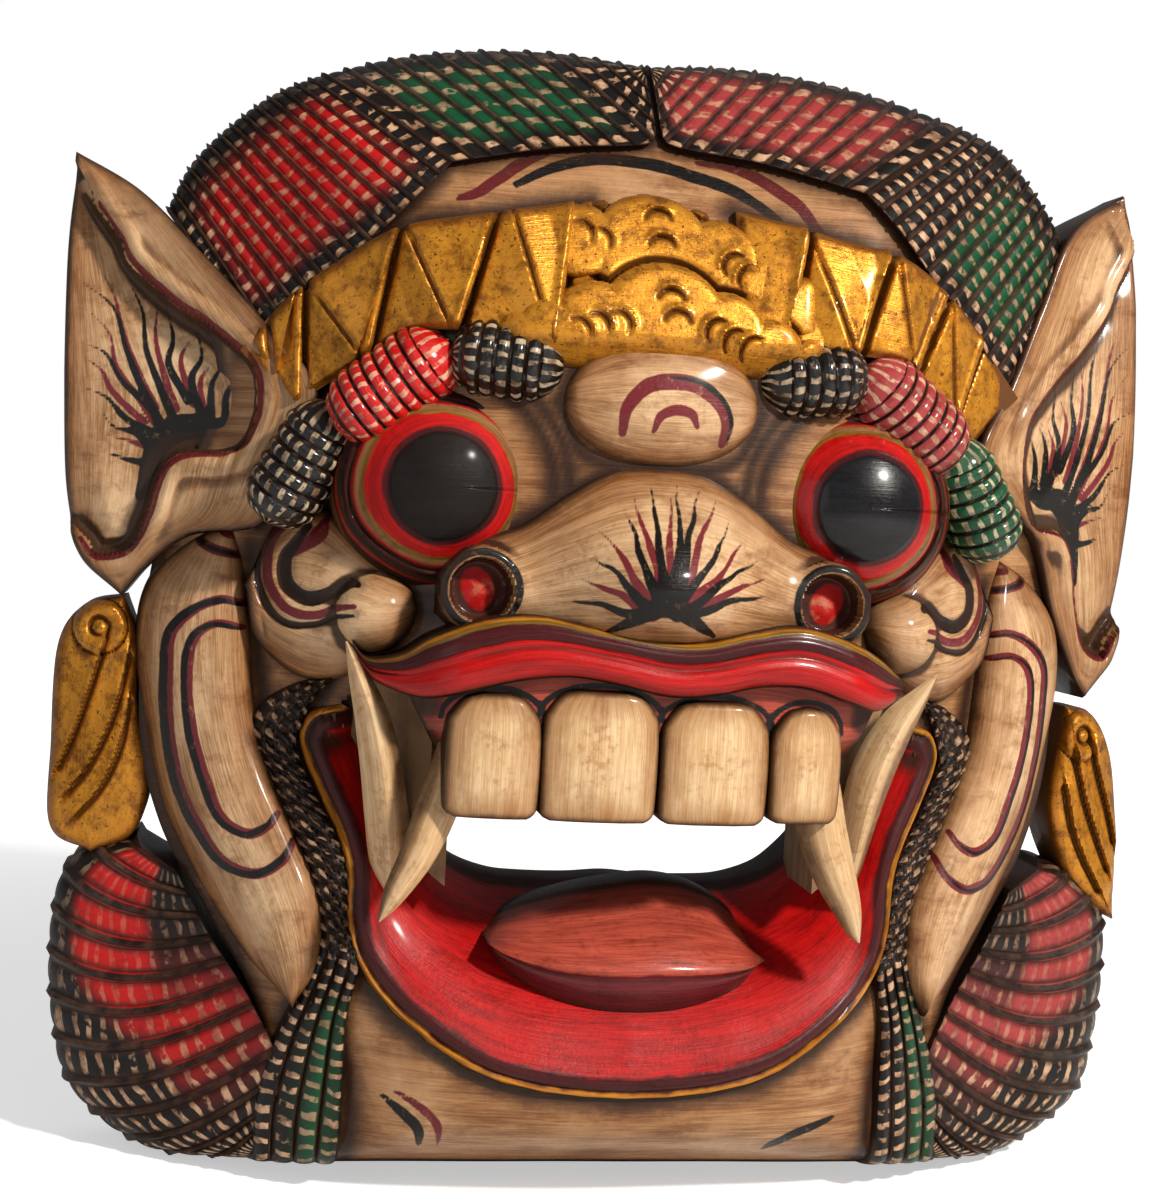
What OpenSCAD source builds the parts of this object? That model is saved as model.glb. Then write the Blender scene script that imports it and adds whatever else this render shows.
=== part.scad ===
// Carved and painted wooden wall mask of a fanged guardian, built up from glued blocks.
// X runs to the right, -Y out of the wall towards the viewer, and Z up. The origin is the middle of the
// back plane, which lies against the wall. A depth is a distance in front of that plane.

/* [Carving] */
// Width of the glue line between two blocks
glue = 0.2; // [0.1:0.05:0.3]
// Depth of the hollow at the back
hollow = 56; // [40:1:58]
// Wood left between the edge of the hollow and the carved front
wall = 24; // [18:1:30]
// Depth of the flange under the hair, jowls and side locks
flange = 22; // [20:1:26]
// Radius of each eyeball
eye_r = 34; // [30:0.5:36]
// Depth of the tip of the nose
nose_depth = 141; // [136:1:144]
// Height that the hair stands proud of the head
hair_proud = 7; // [4:1:9]
// Height that the crown stands proud of the forehead
crown_proud = 9; // [6:1:12]

/* [Hanger] */
// Diameter of the steel wire of the ring
wire_d = 2.5; // [2:0.1:3]
// Width of the ring, to the middle of its wire
ring_w = 22; // [18:1:24]
// Width of the strap
strap_w = 13; // [11:1:15]
// Length of the strap below the ring's hinge
strap_l = 33; // [30:1:36]
// Height of the ring's hinge above the origin
hinge_z = 152; // [150:1:154]

/* [Hidden] */
L = -1;
R = 1;
far = 200;          // deeper than any part of the mask
skin = "#c9a878";
red = "#b3261e";
gold = "#a5781a";
dark = "#2b211c";
steel = "#9a9a98";

// Profiles of the head: half of the plan, as [x, depth], and the side, as [z, depth]
plan_half = [[0, 106], [35, 103], [70, 92], [100, 74], [130, 53], [160, 36], [190, 24], [212, 16]];
side_line = [[-212, 22], [-197, 52], [-186, 78], [-170, 95], [-145, 104], [-90, 107], [0, 107], [60, 106],
    [100, 97], [135, 83], [160, 66], [178, 48], [190, 34], [204, 14]];

// Outlines of the right-hand side, as [x, z] points that a smooth curve runs through
face_half = [[0, 187], [58, 186], [108, 170], [144, 140], [150, 104], [143, 66], [156, 30], [164, 0],
    [165, -50], [156, -84], [138, -113], [119, -145], [120, -191], [60, -196], [0, -196]];
hollow_half = [[0, 106], [50, 104], [84, 84], [98, 40], [96, -20], [86, -90], [64, -146], [0, -166]];
hair_near = [[0, 189], [30, 192], [58, 190], [85, 184], [111, 173], [92, 160], [70, 145], [36, 153], [0, 156]];
hair_outer = [[111, 174], [134, 161], [152, 144], [160, 128], [150, 100], [132, 84], [112, 105], [90, 122],
    [70, 145], [92, 161]];
crown_half = [[0, 134], [30, 131], [58, 124], [84, 117], [104, 108], [120, 96], [132, 84], [116, 64],
    [101, 76], [84, 88], [65, 91], [34, 86], [0, 84]];
crest_half = [[0, 143], [18, 138], [32, 126], [50, 120], [60, 104], [50, 84], [24, 78], [0, 78]];
lip_half = [[0, -5], [34, -2], [62, -4], [80, -15], [94, -12], [92, -26], [76, -27], [55, -25], [30, -24],
    [0, -29]];
jaw_half = [[0, -160], [44, -154], [74, -137], [90, -118], [94, -96], [100, -76], [111, -53], [105, -40],
    [93, -48], [82, -72], [66, -90], [46, -99], [18, -97], [0, -94]];
jaw_floor = [[0, -144], [40, -138], [66, -116], [78, -92], [60, -80], [0, -80]];
tongue_half = [[0, -93], [20, -95], [34, -104], [45, -117], [28, -127], [0, -131]];
cheek_side = [[84, 6], [97, 17], [113, 21], [125, 7], [124, -12], [108, -24], [93, -19], [83, -8]];
jowl_side = [[148, 17], [132, 13], [125, -8], [124, -45], [113, -75], [104, -100], [102, -130], [111, -143],
    [136, -116], [157, -78], [165, -42], [161, -6]];
lock_side = [[101, -28], [115, -34], [125, -48], [122, -68], [111, -92], [109, -130], [116, -160],
    [118, -192], [92, -192], [90, -166], [96, -136], [101, -98], [111, -76], [109, -50]];
curl_side = [[168, -90], [192, -106], [199, -135], [196, -165], [177, -187], [150, -196], [122, -190],
    [112, -160], [125, -133], [146, -104]];
ear_left_side = [[195, 147], [172, 133], [150, 112], [129, 90], [110, 68], [118, 40], [127, 22], [150, 17],
    [166, 6], [181, -6], [191, 10], [195, 62], [196, 114]];
ear_right_side = [[188, 161], [160, 142], [146, 112], [134, 84], [122, 60], [132, 44], [150, 30], [160, 5],
    [172, -20], [187, -30], [195, 9], [196, 85], [194, 138]];
earring_left_side = [[172, -7], [184, -10], [194, -24], [195, -64], [194, -91], [180, -93], [166, -87],
    [161, -70], [166, -42]];
earring_right_side = [[172, -33], [185, -35], [196, -52], [200, -86], [201, -111], [190, -106], [177, -94],
    [168, -70], [171, -45]];

// Brow curls, each [x, z] of its two ends, its depth and its radius
brow_outer = [[[119, 34], [109, 52]], 84, 12];
brow_middle = [[[94, 63], [78, 76]], 94, 13];
brow_inner = [[[56, 81], [45, 79]], 101, 11.5];

// Chains of [x, z, depth, radius] for the fang and the tusk
fang_chain = [[66, -52, 104, 9], [69, -76, 113, 8.5], [78, -99, 114, 4]];
tusk_chain = [[80, -86, 84, 9], [86, -54, 98, 8], [96, -19, 104, 3.5]];

// Teeth, each [middle, half width, top, bottom]
tooth_near = [18, 17.2, -27, -66];
tooth_far = [50, 14.4, -29, -64];

// A closed smooth curve through points, with four straight pieces for each span
function at(p, i) = p[(i + len(p)) % len(p)];
function blend(a, b, c, d, t) =
    0.5 * ((2 * b) + (c - a) * t + (2 * a - 5 * b + 4 * c - d) * t * t + (3 * b - a - 3 * c + d) * t * t * t);
function smooth(p, n = 4) = [for (i = [0 : len(p) - 1], k = [0 : n - 1])
    blend(at(p, i - 1), at(p, i), at(p, i + 1), at(p, i + 2), k / n)];
// An open smooth curve, which keeps its first and last points
function end_at(p, i) = p[max(0, min(len(p) - 1, i))];
function smooth_line(p, n = 4) = concat([for (i = [0 : len(p) - 2], k = [0 : n - 1])
    blend(end_at(p, i - 1), p[i], p[i + 1], end_at(p, i + 2), k / n)], [p[len(p) - 1]]);
function mirrored(p) = [for (i = [len(p) - 1 : -1 : 0]) [-p[i][0], p[i][1]]];
// Both halves of a symmetric outline whose first and last points lie on the middle line
function whole(p) = concat(p, [for (i = [len(p) - 2 : -1 : 1]) [-p[i][0], p[i][1]]]);

// An outline of one side, or of both halves
module side_flat(points, side) mirror([side < 0 ? 1 : 0, 0]) polygon(smooth(points));
module both_flat(half) polygon(smooth(whole(half)));
module grown() offset(delta = glue) children();

// A straight slab of a flat outline, from one depth to another
module slab(back, front = far)
    translate([0, -back, 0]) rotate([90, 0, 0]) linear_extrude(front - back) children();

// The form of the whole head, proud of it by a height
module head_form(proud = 0) intersection() {
    plan = smooth_line([for (p = plan_half) [p[0], p[1] + proud]]);
    translate([0, 0, -far - 20]) linear_extrude(2 * far + 40)
        polygon(concat([for (p = concat(mirrored(plan), plan)) [p[0], -p[1]]], [[212, 1], [-212, 1]]));
    line = smooth_line([for (p = side_line) [p[0], p[1] + proud]]);
    translate([-far - 20, 0, 0]) rotate([90, 0, 90]) linear_extrude(2 * far + 40)
        polygon(concat([for (p = line) [-p[1], p[0]]], [[1, 204], [1, -212]]));
}

// A carved block: a flat outline that rises from its back to the form of the head
module relief(back, proud) intersection() {
    head_form(proud);
    slab(back) children();
}

// A smooth bead with round ends between two points, given as [x, z] and a depth
module bead(ends, depth, r) {
    run = ends[1] - ends[0];
    translate([ends[0][0], -depth, ends[0][1]]) rotate([0, atan2(run[0], run[1]), 0])
        rotate_extrude($fn = 48) intersection() {
            translate([0, -r]) square([r, norm(run) + 2 * r]);
            union() {
                for (z = [0, norm(run)]) translate([0, z]) circle(r, $fn = 48);
                square([r, norm(run)]);
            }
        }
}

// A horn through a chain of balls, widest at its root
module horn(chain, side) for (i = [0 : len(chain) - 2]) hull() for (p = [chain[i], chain[i + 1]])
    translate([side * p[0], -p[2], p[1]]) sphere(p[3], $fn = 24);
module horn_flat(chain, side) mirror([side < 0 ? 1 : 0, 0]) {
    cover = 1.08;   // the sides lean, so they reach a little past each ball's radius
    for (p = chain) translate([p[0], p[1]]) circle(p[3], $fn = 24);
    polygon(concat([for (p = chain) [p[0] - cover * p[3], p[1]]],
        [for (i = [len(chain) - 1 : -1 : 0]) [chain[i][0] + cover * chain[i][3], chain[i][1]]]));
}
// A flat strip with round ends
module capsule(a, b, r) {
    run = b - a;
    translate(a) circle(r, $fn = 48);
    translate(b) circle(r, $fn = 48);
    translate(a) rotate(atan2(run[1], run[0])) translate([0, -r]) square([norm(run), 2 * r]);
}

// Flat outlines of the blocks that other blocks are cut round
module eye_flat(side) translate([side * 70, 38]) circle(eye_r, $fn = 64);
module boss_flat() capsule([-16, 67], [16, 67], 19);
module nose_flat() hull() {
    translate([0, 38]) circle(10, $fn = 32);
    for (s = [L, R]) translate([s * 56, 8]) circle(13, $fn = 32);
}
module nose_base() difference() {
    nose_flat();
    translate([-far, -7 - far]) square([2 * far, far]);
}
module brow_flat(curl, side) mirror([side < 0 ? 1 : 0, 0]) capsule(curl[0][0], curl[0][1], curl[2]);
module ear_flat(side) side_flat(side < 0 ? ear_left_side : ear_right_side, side);
module tooth_flat(tooth, side) mirror([side < 0 ? 1 : 0, 0]) translate([tooth[0], 0]) hull() {
    for (s = [L, R]) {
        translate([s * (tooth[1] - 5), tooth[3] + 4]) circle(4, $fn = 24);
        translate([s * (tooth[1] - 8), tooth[2] - 8]) circle(8, $fn = 32);
    }
}
module teeth_flat() for (side = [L, R], tooth = [tooth_near, tooth_far]) tooth_flat(tooth, side);
module jaw_region() translate([-68, -58]) square([136, 48]);
module hanger_pocket() slab(-1, 8) translate([-18, hinge_z - 36]) square([36, 52]);

// The face: forehead, temples and chin, hollow behind, with a seat for each block
module face_block() color(skin) difference() {
    relief(0, 0) both_flat(face_half);
    intersection() {
        head_form(-wall);
        slab(-1, hollow) both_flat(hollow_half);
    }
    for (side = [L, R]) {
        slab(flange) grown() {
            side_flat(hair_near, side);
            side_flat(hair_outer, side);
            side_flat(jowl_side, side);
            side_flat(lock_side, side);
        }
        slab(62) grown() eye_flat(side);
        slab(55) grown() side_flat(cheek_side, side);
        slab(60) grown() brow_flat(brow_outer, side);
        slab(76) grown() brow_flat(brow_middle, side);
        slab(84) grown() brow_flat(brow_inner, side);
        slab(72) grown() horn_flat(tusk_chain, side);
    }
    slab(64) grown() both_flat(crown_half);
    slab(64) grown() both_flat(crest_half);
    slab(92) grown() boss_flat();
    slab(92) grown() nose_base();
    slab(90) grown() both_flat(lip_half);
    slab(60) grown() jaw_region();
    slab(36) grown() both_flat(jaw_half);
    slab(-1) translate([-62, -100]) square([124, 44]);
    hanger_pocket();
    for (p = screw_places()) slab(0, 18.2) translate(p) circle(1.85, $fn = 24);
}

// Hair, in four locks that meet at the parting and above each temple
module hair_block(points, side) color(dark) relief(flange, hair_proud) difference() {
    side_flat(points, side);
    grown() both_flat(crown_half);
    grown() both_flat(crest_half);
    grown() ear_flat(side);
    translate([-side * far - glue / 2, 0]) square([2 * far, 4 * far], center = true);
}
module hair_near_lock(side) hair_block(hair_near, side);
module hair_far_lock(side) color(dark) relief(flange, hair_proud) difference() {
    side_flat(hair_outer, side);
    grown() side_flat(hair_near, side);
    grown() both_flat(crown_half);
    grown() ear_flat(side);
}

// Crown: a band of folded leaves on each side, and a crest of scallops over the middle
module crown_side(side) color(gold) relief(64, crown_proud) intersection() {
    difference() {
        both_flat(crown_half);
        grown() both_flat(crest_half);
        grown() boss_flat();
        grown() ear_flat(side);
        for (curl = [brow_inner, brow_middle, brow_outer]) grown() brow_flat(curl, side);
    }
    translate([side * far, 0]) square([2 * far - 50, 4 * far], center = true);
}
module crown_crest() color(gold) relief(64, crown_proud + 6) difference() {
    both_flat(crest_half);
    grown() boss_flat();
    for (side = [L, R]) grown() brow_flat(brow_inner, side);
}
module forehead_boss() color(skin) intersection() {
    slab(92) boss_flat();
    translate([0, -10, 67]) sphere(r = 110, $fn = 96);
}

// Brow curls, three over each eye, with the outer and inner ones cut to the middle one
module brow_curl(curl, back, side) color(dark) intersection() {
    mirror([side < 0 ? 1 : 0, 0, 0]) bead(curl[0], curl[1], curl[2]);
    slab(back) difference() {
        translate([-far, -far]) square(2 * far);
        grown() boss_flat();
        grown() eye_flat(side);
        if (curl != brow_middle) grown() brow_flat(brow_middle, side);
    }
}

// Eyeball, a little rounder than its seat
module eye(side) color(red) intersection() {
    translate([side * 70, -78, 38]) sphere(eye_r + 2, $fn = 96);
    slab(62 + glue) difference() {
        eye_flat(side);
        grown() nose_base();
        grown() side_flat(cheek_side, side);
    }
}

// Nose, with a round nostril cut into each wing
module nose() color(skin) intersection() {
    slab(92) nose_base();
    difference() {
        hull() {
            translate([0, -98, 38]) sphere(13, $fn = 24);
            translate([0, 22 - nose_depth, 12]) sphere(22, $fn = 24);
            for (s = [L, R]) translate([s * 54, -104, 7]) sphere(15, $fn = 24);
        }
        for (s = [L, R]) slab(112) translate([s * 56, 5]) circle(8, $fn = 32);
    }
}

module upper_lip() color(red) relief(90, 26) difference() {
    both_flat(lip_half);
    grown() nose_base();
    for (side = [L, R]) {
        grown() side_flat(cheek_side, side);
        grown() horn_flat(tusk_chain, side);
    }
}

// Upper jaw: the gum in front, with a ledge behind the teeth that carries them
module upper_jaw() color(red) difference() {
    union() {
        relief(60, 16) difference() {
            jaw_region();
            grown() teeth_flat();
        }
        slab(60, 90) jaw_region();
    }
    slab(90 - glue) grown() both_flat(lip_half);
    for (side = [L, R]) {
        slab(92) grown() horn_flat(fang_chain, side);
        slab(72) grown() horn_flat(tusk_chain, side);
        slab(56) grown() eye_flat(side);
    }
    slab(92 - glue) grown() nose_base();
}
module tooth(shape, side) color(skin) relief(90 + glue, 24) difference() {
    tooth_flat(shape, side);
    grown() both_flat(lip_half);
    grown() horn_flat(fang_chain, side);
}
module fang(side) color(skin) intersection() {
    horn(fang_chain, side);
    slab(92 + glue) translate([-far, -far]) square(2 * far);
}
module tusk(side) color(skin) intersection() {
    horn(tusk_chain, side);
    slab(72 + glue) translate([-far, -far]) square(2 * far);
}

// Lower jaw: the lip is its rim, and its floor is cut back in two steps
module lower_jaw() color(red) difference() {
    relief(36 + glue, 2) both_flat(jaw_half);
    slab(86) both_flat(jaw_floor);
    slab(70) offset(delta = -10) both_flat(jaw_floor);
    for (side = [L, R]) {
        slab(72) grown() horn_flat(tusk_chain, side);
        slab(90) grown() horn_flat(fang_chain, side);
    }
    slab(0) grown() jaw_region();
    slab(70) grown() both_flat(tongue_half);
}
module tongue() color(red) intersection() {
    slab(70 + glue) difference() {
        both_flat(tongue_half);
        for (side = [L, R]) grown() horn_flat(tusk_chain, side);
    }
    translate([0, -24, -113]) sphere(r = 86, $fn = 96);
}

module cheek(side) color(skin) relief(55 + glue, 14) difference() {
    side_flat(cheek_side, side);
    grown() nose_base();
    grown() horn_flat(tusk_chain, side);
}
module jowl(side) color(skin) relief(flange + glue, 12) difference() {
    side_flat(jowl_side, side);
    grown() side_flat(cheek_side, side);
}
module side_lock(side) color(dark) relief(flange + glue, 5) difference() {
    side_flat(lock_side, side);
    grown() side_flat(jowl_side, side);
    grown() side_flat(cheek_side, side);
    grown() both_flat(jaw_half);
    grown() both_flat(lip_half);
    grown() horn_flat(tusk_chain, side);
}
module lower_curl(side) color(dark) relief(0, 8) difference() {
    side_flat(curl_side, side);
    grown() both_flat(face_half);
    grown() side_flat(side < 0 ? earring_left_side : earring_right_side, side);
}

// Ears, each with its bowl scooped out
module ear(side) color(skin) difference() {
    relief(0, 6) difference() {
        ear_flat(side);
        grown() both_flat(face_half);
    }
    translate([side * 180, -66, 44]) sphere(r = 44, $fn = 96);
}
module earring(side) color(gold) relief(0, 5) difference() {
    side_flat(side < 0 ? earring_left_side : earring_right_side, side);
    grown() both_flat(face_half);
    grown() ear_flat(side);
}

// Hanger: a steel strap rolled round the straight side of a wire ring, in a pocket in the back
strap_t = 1.2;
pocket = 8;
ring_gap = 0.35;    // between the ring and the strap that it lies on
bore_gap = 0.08;    // round the ring's straight side
barrel_r = wire_d / 2 + strap_t + ring_gap;
hinge_depth = pocket - barrel_r;
function screw_places() = [for (drop = [18, 28]) [0, hinge_z - drop]];
module hanger_plate() color(steel) difference() {
    union() {
        slab(pocket - strap_t, pocket) translate([-strap_w / 2, hinge_z - strap_l]) square([strap_w, strap_l]);
        translate([-strap_w / 2, -hinge_depth, hinge_z]) rotate([0, 90, 0])
            cylinder(r = barrel_r, h = strap_w, $fn = 48);
    }
    translate([-strap_w, -hinge_depth, hinge_z]) rotate([0, 90, 0])
        cylinder(r = wire_d / 2 + bore_gap, h = 2 * strap_w, $fn = 48);
    for (p = screw_places()) slab(0, pocket + 1) translate(p) circle(2.1, $fn = 32);
}
module hanger_ring() color(steel) translate([0, -hinge_depth, hinge_z]) {
    rotate([0, 90, 0]) cylinder(d = wire_d, h = ring_w, center = true, $fn = 48);
    rotate([90, 0, 0]) rotate([0, 0, 180]) rotate_extrude(angle = 180, $fn = 96)
        translate([ring_w / 2, 0]) circle(d = wire_d, $fn = 32);
    for (s = [L, R]) translate([s * ring_w / 2, 0, 0]) sphere(d = wire_d, $fn = 32);
}
module hanger_screws() color(steel) for (p = screw_places()) {
    slab(pocket - strap_t - 2, pocket - strap_t) translate(p) circle(3.3, $fn = 32);
    slab(pocket - strap_t, 18) translate(p) circle(1.8, $fn = 32);
}

face_block();
hair_far_lock(L);  // hair_far_left
hair_near_lock(L);  // hair_left
hair_near_lock(R);  // hair_right
hair_far_lock(R);  // hair_far_right
crown_side(L);  // crown_left
crown_crest();
crown_side(R);  // crown_right
forehead_boss();
brow_curl(brow_outer, 60 + glue, L);  // brow_curl_outer_left
brow_curl(brow_middle, 76 + glue, L);  // brow_curl_middle_left
brow_curl(brow_inner, 84 + glue, L);  // brow_curl_inner_left
brow_curl(brow_inner, 84 + glue, R);  // brow_curl_inner_right
brow_curl(brow_middle, 76 + glue, R);  // brow_curl_middle_right
brow_curl(brow_outer, 60 + glue, R);  // brow_curl_outer_right
eye(L);  // eye_left
eye(R);  // eye_right
nose();
upper_lip();
upper_jaw();
tooth(tooth_far, L);  // tooth_far_left
tooth(tooth_near, L);  // tooth_left
tooth(tooth_near, R);  // tooth_right
tooth(tooth_far, R);  // tooth_far_right
fang(L);  // fang_left
fang(R);  // fang_right
tusk(L);  // tusk_left
tusk(R);  // tusk_right
tongue();
lower_jaw();
cheek(L);  // cheek_left
cheek(R);  // cheek_right
jowl(L);  // jowl_left
jowl(R);  // jowl_right
side_lock(L);  // side_lock_left
side_lock(R);  // side_lock_right
lower_curl(L);  // lower_curl_left
lower_curl(R);  // lower_curl_right
ear(L);  // ear_left
ear(R);  // ear_right
earring(L);  // earring_left
earring(R);  // earring_right
hanger_plate();
hanger_ring();
hanger_screws();
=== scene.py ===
import math
import random
import bpy
import numpy as np
from mathutils import Matrix, Vector


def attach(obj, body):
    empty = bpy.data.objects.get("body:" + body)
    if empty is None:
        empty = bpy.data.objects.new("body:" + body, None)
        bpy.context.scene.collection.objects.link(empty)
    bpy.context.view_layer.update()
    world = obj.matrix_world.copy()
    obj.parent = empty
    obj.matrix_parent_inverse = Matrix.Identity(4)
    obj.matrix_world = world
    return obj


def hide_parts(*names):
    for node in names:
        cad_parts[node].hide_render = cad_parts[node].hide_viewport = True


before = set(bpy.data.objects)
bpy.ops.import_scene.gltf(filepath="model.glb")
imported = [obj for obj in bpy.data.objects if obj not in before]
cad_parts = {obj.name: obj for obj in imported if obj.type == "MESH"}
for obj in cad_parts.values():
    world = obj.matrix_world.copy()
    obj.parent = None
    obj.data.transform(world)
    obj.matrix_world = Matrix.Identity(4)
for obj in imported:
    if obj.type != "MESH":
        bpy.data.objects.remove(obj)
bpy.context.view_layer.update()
mm = 0.001


view = {"place": (-0.1269, -0.7622, 0.0331), "target": (-0.0126, -0.052, 0.0013),
        "up": (-0.0523, 0.0, 0.9986), "lens": 61.7}


def addCamera():
    bpy.ops.object.camera_add(location=view["place"])
    camera = bpy.context.object
    camera.name = "maskCamera"
    ahead = (Vector(view["target"]) - Vector(view["place"])).normalized()
    right = ahead.cross(Vector(view["up"])).normalized()
    top = right.cross(ahead)
    camera.rotation_euler = Matrix((right, top, -ahead)).transposed().to_euler()
    camera.data.lens = view["lens"]
    camera.data.sensor_width = 36
    bpy.context.scene.camera = camera


studio = {"keyPlace": (0.85, -1.3, 1.0), "keySize": 0.16, "keyPower": 46, "keyColor": (1.0, 0.95, 0.87),
          "fillPlace": (-1.3, -1.2, 0.3), "fillSize": 1.2, "fillPower": 3, "worldLight": 0.24}


def addArea(name, place, size, power, color, target=(0, -0.06, 0)):
    bpy.ops.object.light_add(type="AREA", location=place)
    lamp = bpy.context.object
    lamp.name = name
    lamp.data.shape = "DISK"
    lamp.data.size = size
    lamp.data.energy = power
    lamp.data.color = color
    lamp.rotation_euler = (Vector(target) - Vector(place)).to_track_quat("-Z", "Y").to_euler()


def addStudio():
    addArea("keyLight", studio["keyPlace"], studio["keySize"], studio["keyPower"], studio["keyColor"])
    addArea("fillLight", studio["fillPlace"], studio["fillSize"], studio["fillPower"], (0.9, 0.95, 1.0))
    world = bpy.data.worlds.new("paleStudio")
    bpy.context.scene.world = world
    world.use_nodes = True
    tree = world.node_tree
    seen = tree.nodes.new("ShaderNodeLightPath")
    strength = tree.nodes.new("ShaderNodeMix")
    strength.inputs["A"].default_value = studio["worldLight"]
    strength.inputs["B"].default_value = 1.0
    tree.links.new(seen.outputs["Is Camera Ray"], strength.inputs["Factor"])
    sky = tree.nodes["Background"]
    sky.inputs["Color"].default_value = (1, 1, 1, 1)
    tree.links.new(strength.outputs["Result"], sky.inputs["Strength"])
    bpy.context.scene.view_settings.view_transform = "Standard"


def addFloor():
    deselectAll()
    bpy.ops.mesh.primitive_circle_add(vertices=96, radius=3.0, fill_type="NGON", location=(0, 0, -0.2))
    floor = bpy.context.object
    floor.name = "paleFloor"
    bpy.ops.object.mode_set(mode="EDIT")
    bpy.ops.mesh.inset(thickness=0.4)
    bpy.ops.object.mode_set(mode="OBJECT")
    mat = bpy.data.materials.new("paleFloor")
    mat.use_nodes = True
    tree = mat.node_tree
    shader = tree.nodes["Principled BSDF"]
    shader.inputs["Base Color"].default_value = (0.9, 0.9, 0.9, 1)
    shader.inputs["Roughness"].default_value = 0.9
    shader.inputs["Specular IOR Level"].default_value = 0.0
    shader.inputs["Emission Color"].default_value = (1, 1, 1, 1)
    seen = tree.nodes.new("ShaderNodeLightPath")
    away = tree.nodes.new("ShaderNodeVectorMath")
    away.operation = "LENGTH"
    tree.links.new(objectPlace(tree), away.inputs[0])
    glow = fade(tree, away.outputs["Value"], 0.3, 1.3, 0.5, 1.0)
    shown = calc(tree, "MULTIPLY", seen.outputs["Is Camera Ray"], glow)
    tree.links.new(shown, shader.inputs["Emission Strength"])
    floor.data.materials.append(mat)


# the shaping helpers work in millimetres: x to the right, z up, depth out of the back plane

def deselectAll():
    if bpy.context.object and bpy.context.object.mode != "OBJECT":
        bpy.ops.object.mode_set(mode="OBJECT")
    bpy.ops.object.select_all(action="DESELECT")


def smoothLine(points, count):
    # even steps along a smooth curve through the points
    p = np.array(points, float)
    p = np.vstack([2 * p[0] - p[1], p, 2 * p[-1] - p[-2]])
    fine = []
    for i in range(1, len(p) - 2):
        a, b, c, d = p[i - 1:i + 3]
        for k in range(12):
            t = k / 12
            fine.append(0.5 * (2 * b + (c - a) * t + (2 * a - 5 * b + 4 * c - d) * t * t
                               + (3 * b - a - 3 * c + d) * t ** 3))
    fine = np.array(fine + [p[-2]])
    run = np.r_[0, np.cumsum(np.linalg.norm(np.diff(fine[:, :2], axis=0), axis=1))]
    at = np.linspace(0, run[-1], count)
    return np.stack([np.interp(at, run, fine[:, k]) for k in range(fine.shape[1])], 1)


def pieceAt(name, side):
    return name + ("Left" if side < 0 else "Right")


def nodeAt(name, side):
    return name + ("_left" if side < 0 else "_right")


def flipX(points, side):
    return [(side * p[0],) + tuple(p[1:]) for p in points]


def nearest(x, z, line):
    # distance from each point to the nearest point of a line, and which point that is
    best = np.full(len(x), 1e9)
    which = np.zeros(len(x), int)
    for start in range(0, len(line), 64):
        part = line[start:start + 64]
        gap = np.hypot(x[:, None] - part[None, :, 0], z[:, None] - part[None, :, 1])
        low = gap.argmin(1)
        value = gap[np.arange(len(x)), low]
        closer = value < best
        best[closer] = value[closer]
        which[closer] = low[closer] + start
    return best, which


def strokeGap(x, z, strokes):
    # distance outside the nearest painted stroke, below zero on it; a stroke is a list of (x, z, width)
    gap = np.full(len(x), 8.0)
    for points in strokes:
        steps = np.diff(np.array([p[:2] for p in points], float), axis=0)
        long = np.hypot(steps[:, 0], steps[:, 1]).sum()
        line = smoothLine(points, max(20, int(long / 0.8)))
        far, which = nearest(x, z, line)
        gap = np.minimum(gap, far - line[which, 2] / 2)
    return gap


def sideOf(x, z, points):
    # signed distance to a line: positive on its left as it runs
    line = smoothLine(points, 120)
    far, which = nearest(x, z, line)
    ahead = np.gradient(line[:, :2], axis=0)[which]
    away = np.stack([x, z], 1) - line[which, :2]
    return far * np.sign(ahead[:, 0] * away[:, 1] - ahead[:, 1] * away[:, 0])


def ramp(value, low, high):
    t = np.clip((value - low) / (high - low), 0, 1)
    return t * t * (3 - 2 * t)


def pillow(rim, height, reach):
    # a rounded edge that is full height at its reach from the rim
    return height * np.sqrt(np.clip(1 - (1 - np.clip(rim / reach, 0, 1)) ** 2, 0, 1))


def bump(gap, width):
    return np.exp(-(gap / width) ** 2)


def noise2(x, z, size, seed):
    # smooth hand-made unevenness from a few crossing waves
    rng = random.Random(seed)
    total = np.zeros(len(x))
    for k in range(6):
        turn = rng.uniform(0, math.pi)
        wave = size * rng.uniform(0.7, 1.6)
        phase = rng.uniform(0, 6.28)
        total += np.sin((x * math.cos(turn) + z * math.sin(turn)) * 6.28 / wave + phase)
    return total / 6


planLine = smoothLine([(0, 106), (35, 103), (70, 92), (100, 74), (130, 53), (160, 36), (190, 24), (215, 15)],
                      200)
sideLine = smoothLine([(-212, 22), (-197, 52), (-186, 78), (-170, 95), (-145, 104), (-90, 107), (0, 107),
                       (60, 106), (100, 97), (135, 83), (160, 66), (178, 48), (190, 34), (204, 14)], 200)


def headForm(x, z):
    plan = np.interp(np.abs(x), planLine[:, 0], planLine[:, 1])
    side = np.interp(z, sideLine[:, 0], sideLine[:, 1])
    soft = 4
    return soft * math.log(2) - soft * np.log(np.exp(-plan / soft) + np.exp(-side / soft))


def setNumbers(piece, **values):
    # one named number for each point, which the paint reads
    for name, numbers in values.items():
        spot = piece.data.attributes.new(name, "FLOAT", "POINT")
        spot.data.foreach_set("value", np.asarray(numbers, np.float32))


def setMap(piece, u, v):
    mesh = piece.data
    layer = mesh.uv_layers.active or mesh.uv_layers.new(name="UVMap")
    corner = np.empty(len(mesh.loops), int)
    mesh.loops.foreach_get("vertex_index", corner)
    layer.data.foreach_set("uv", np.stack([u[corner], v[corner]], 1).ravel().astype(np.float32))


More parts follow.
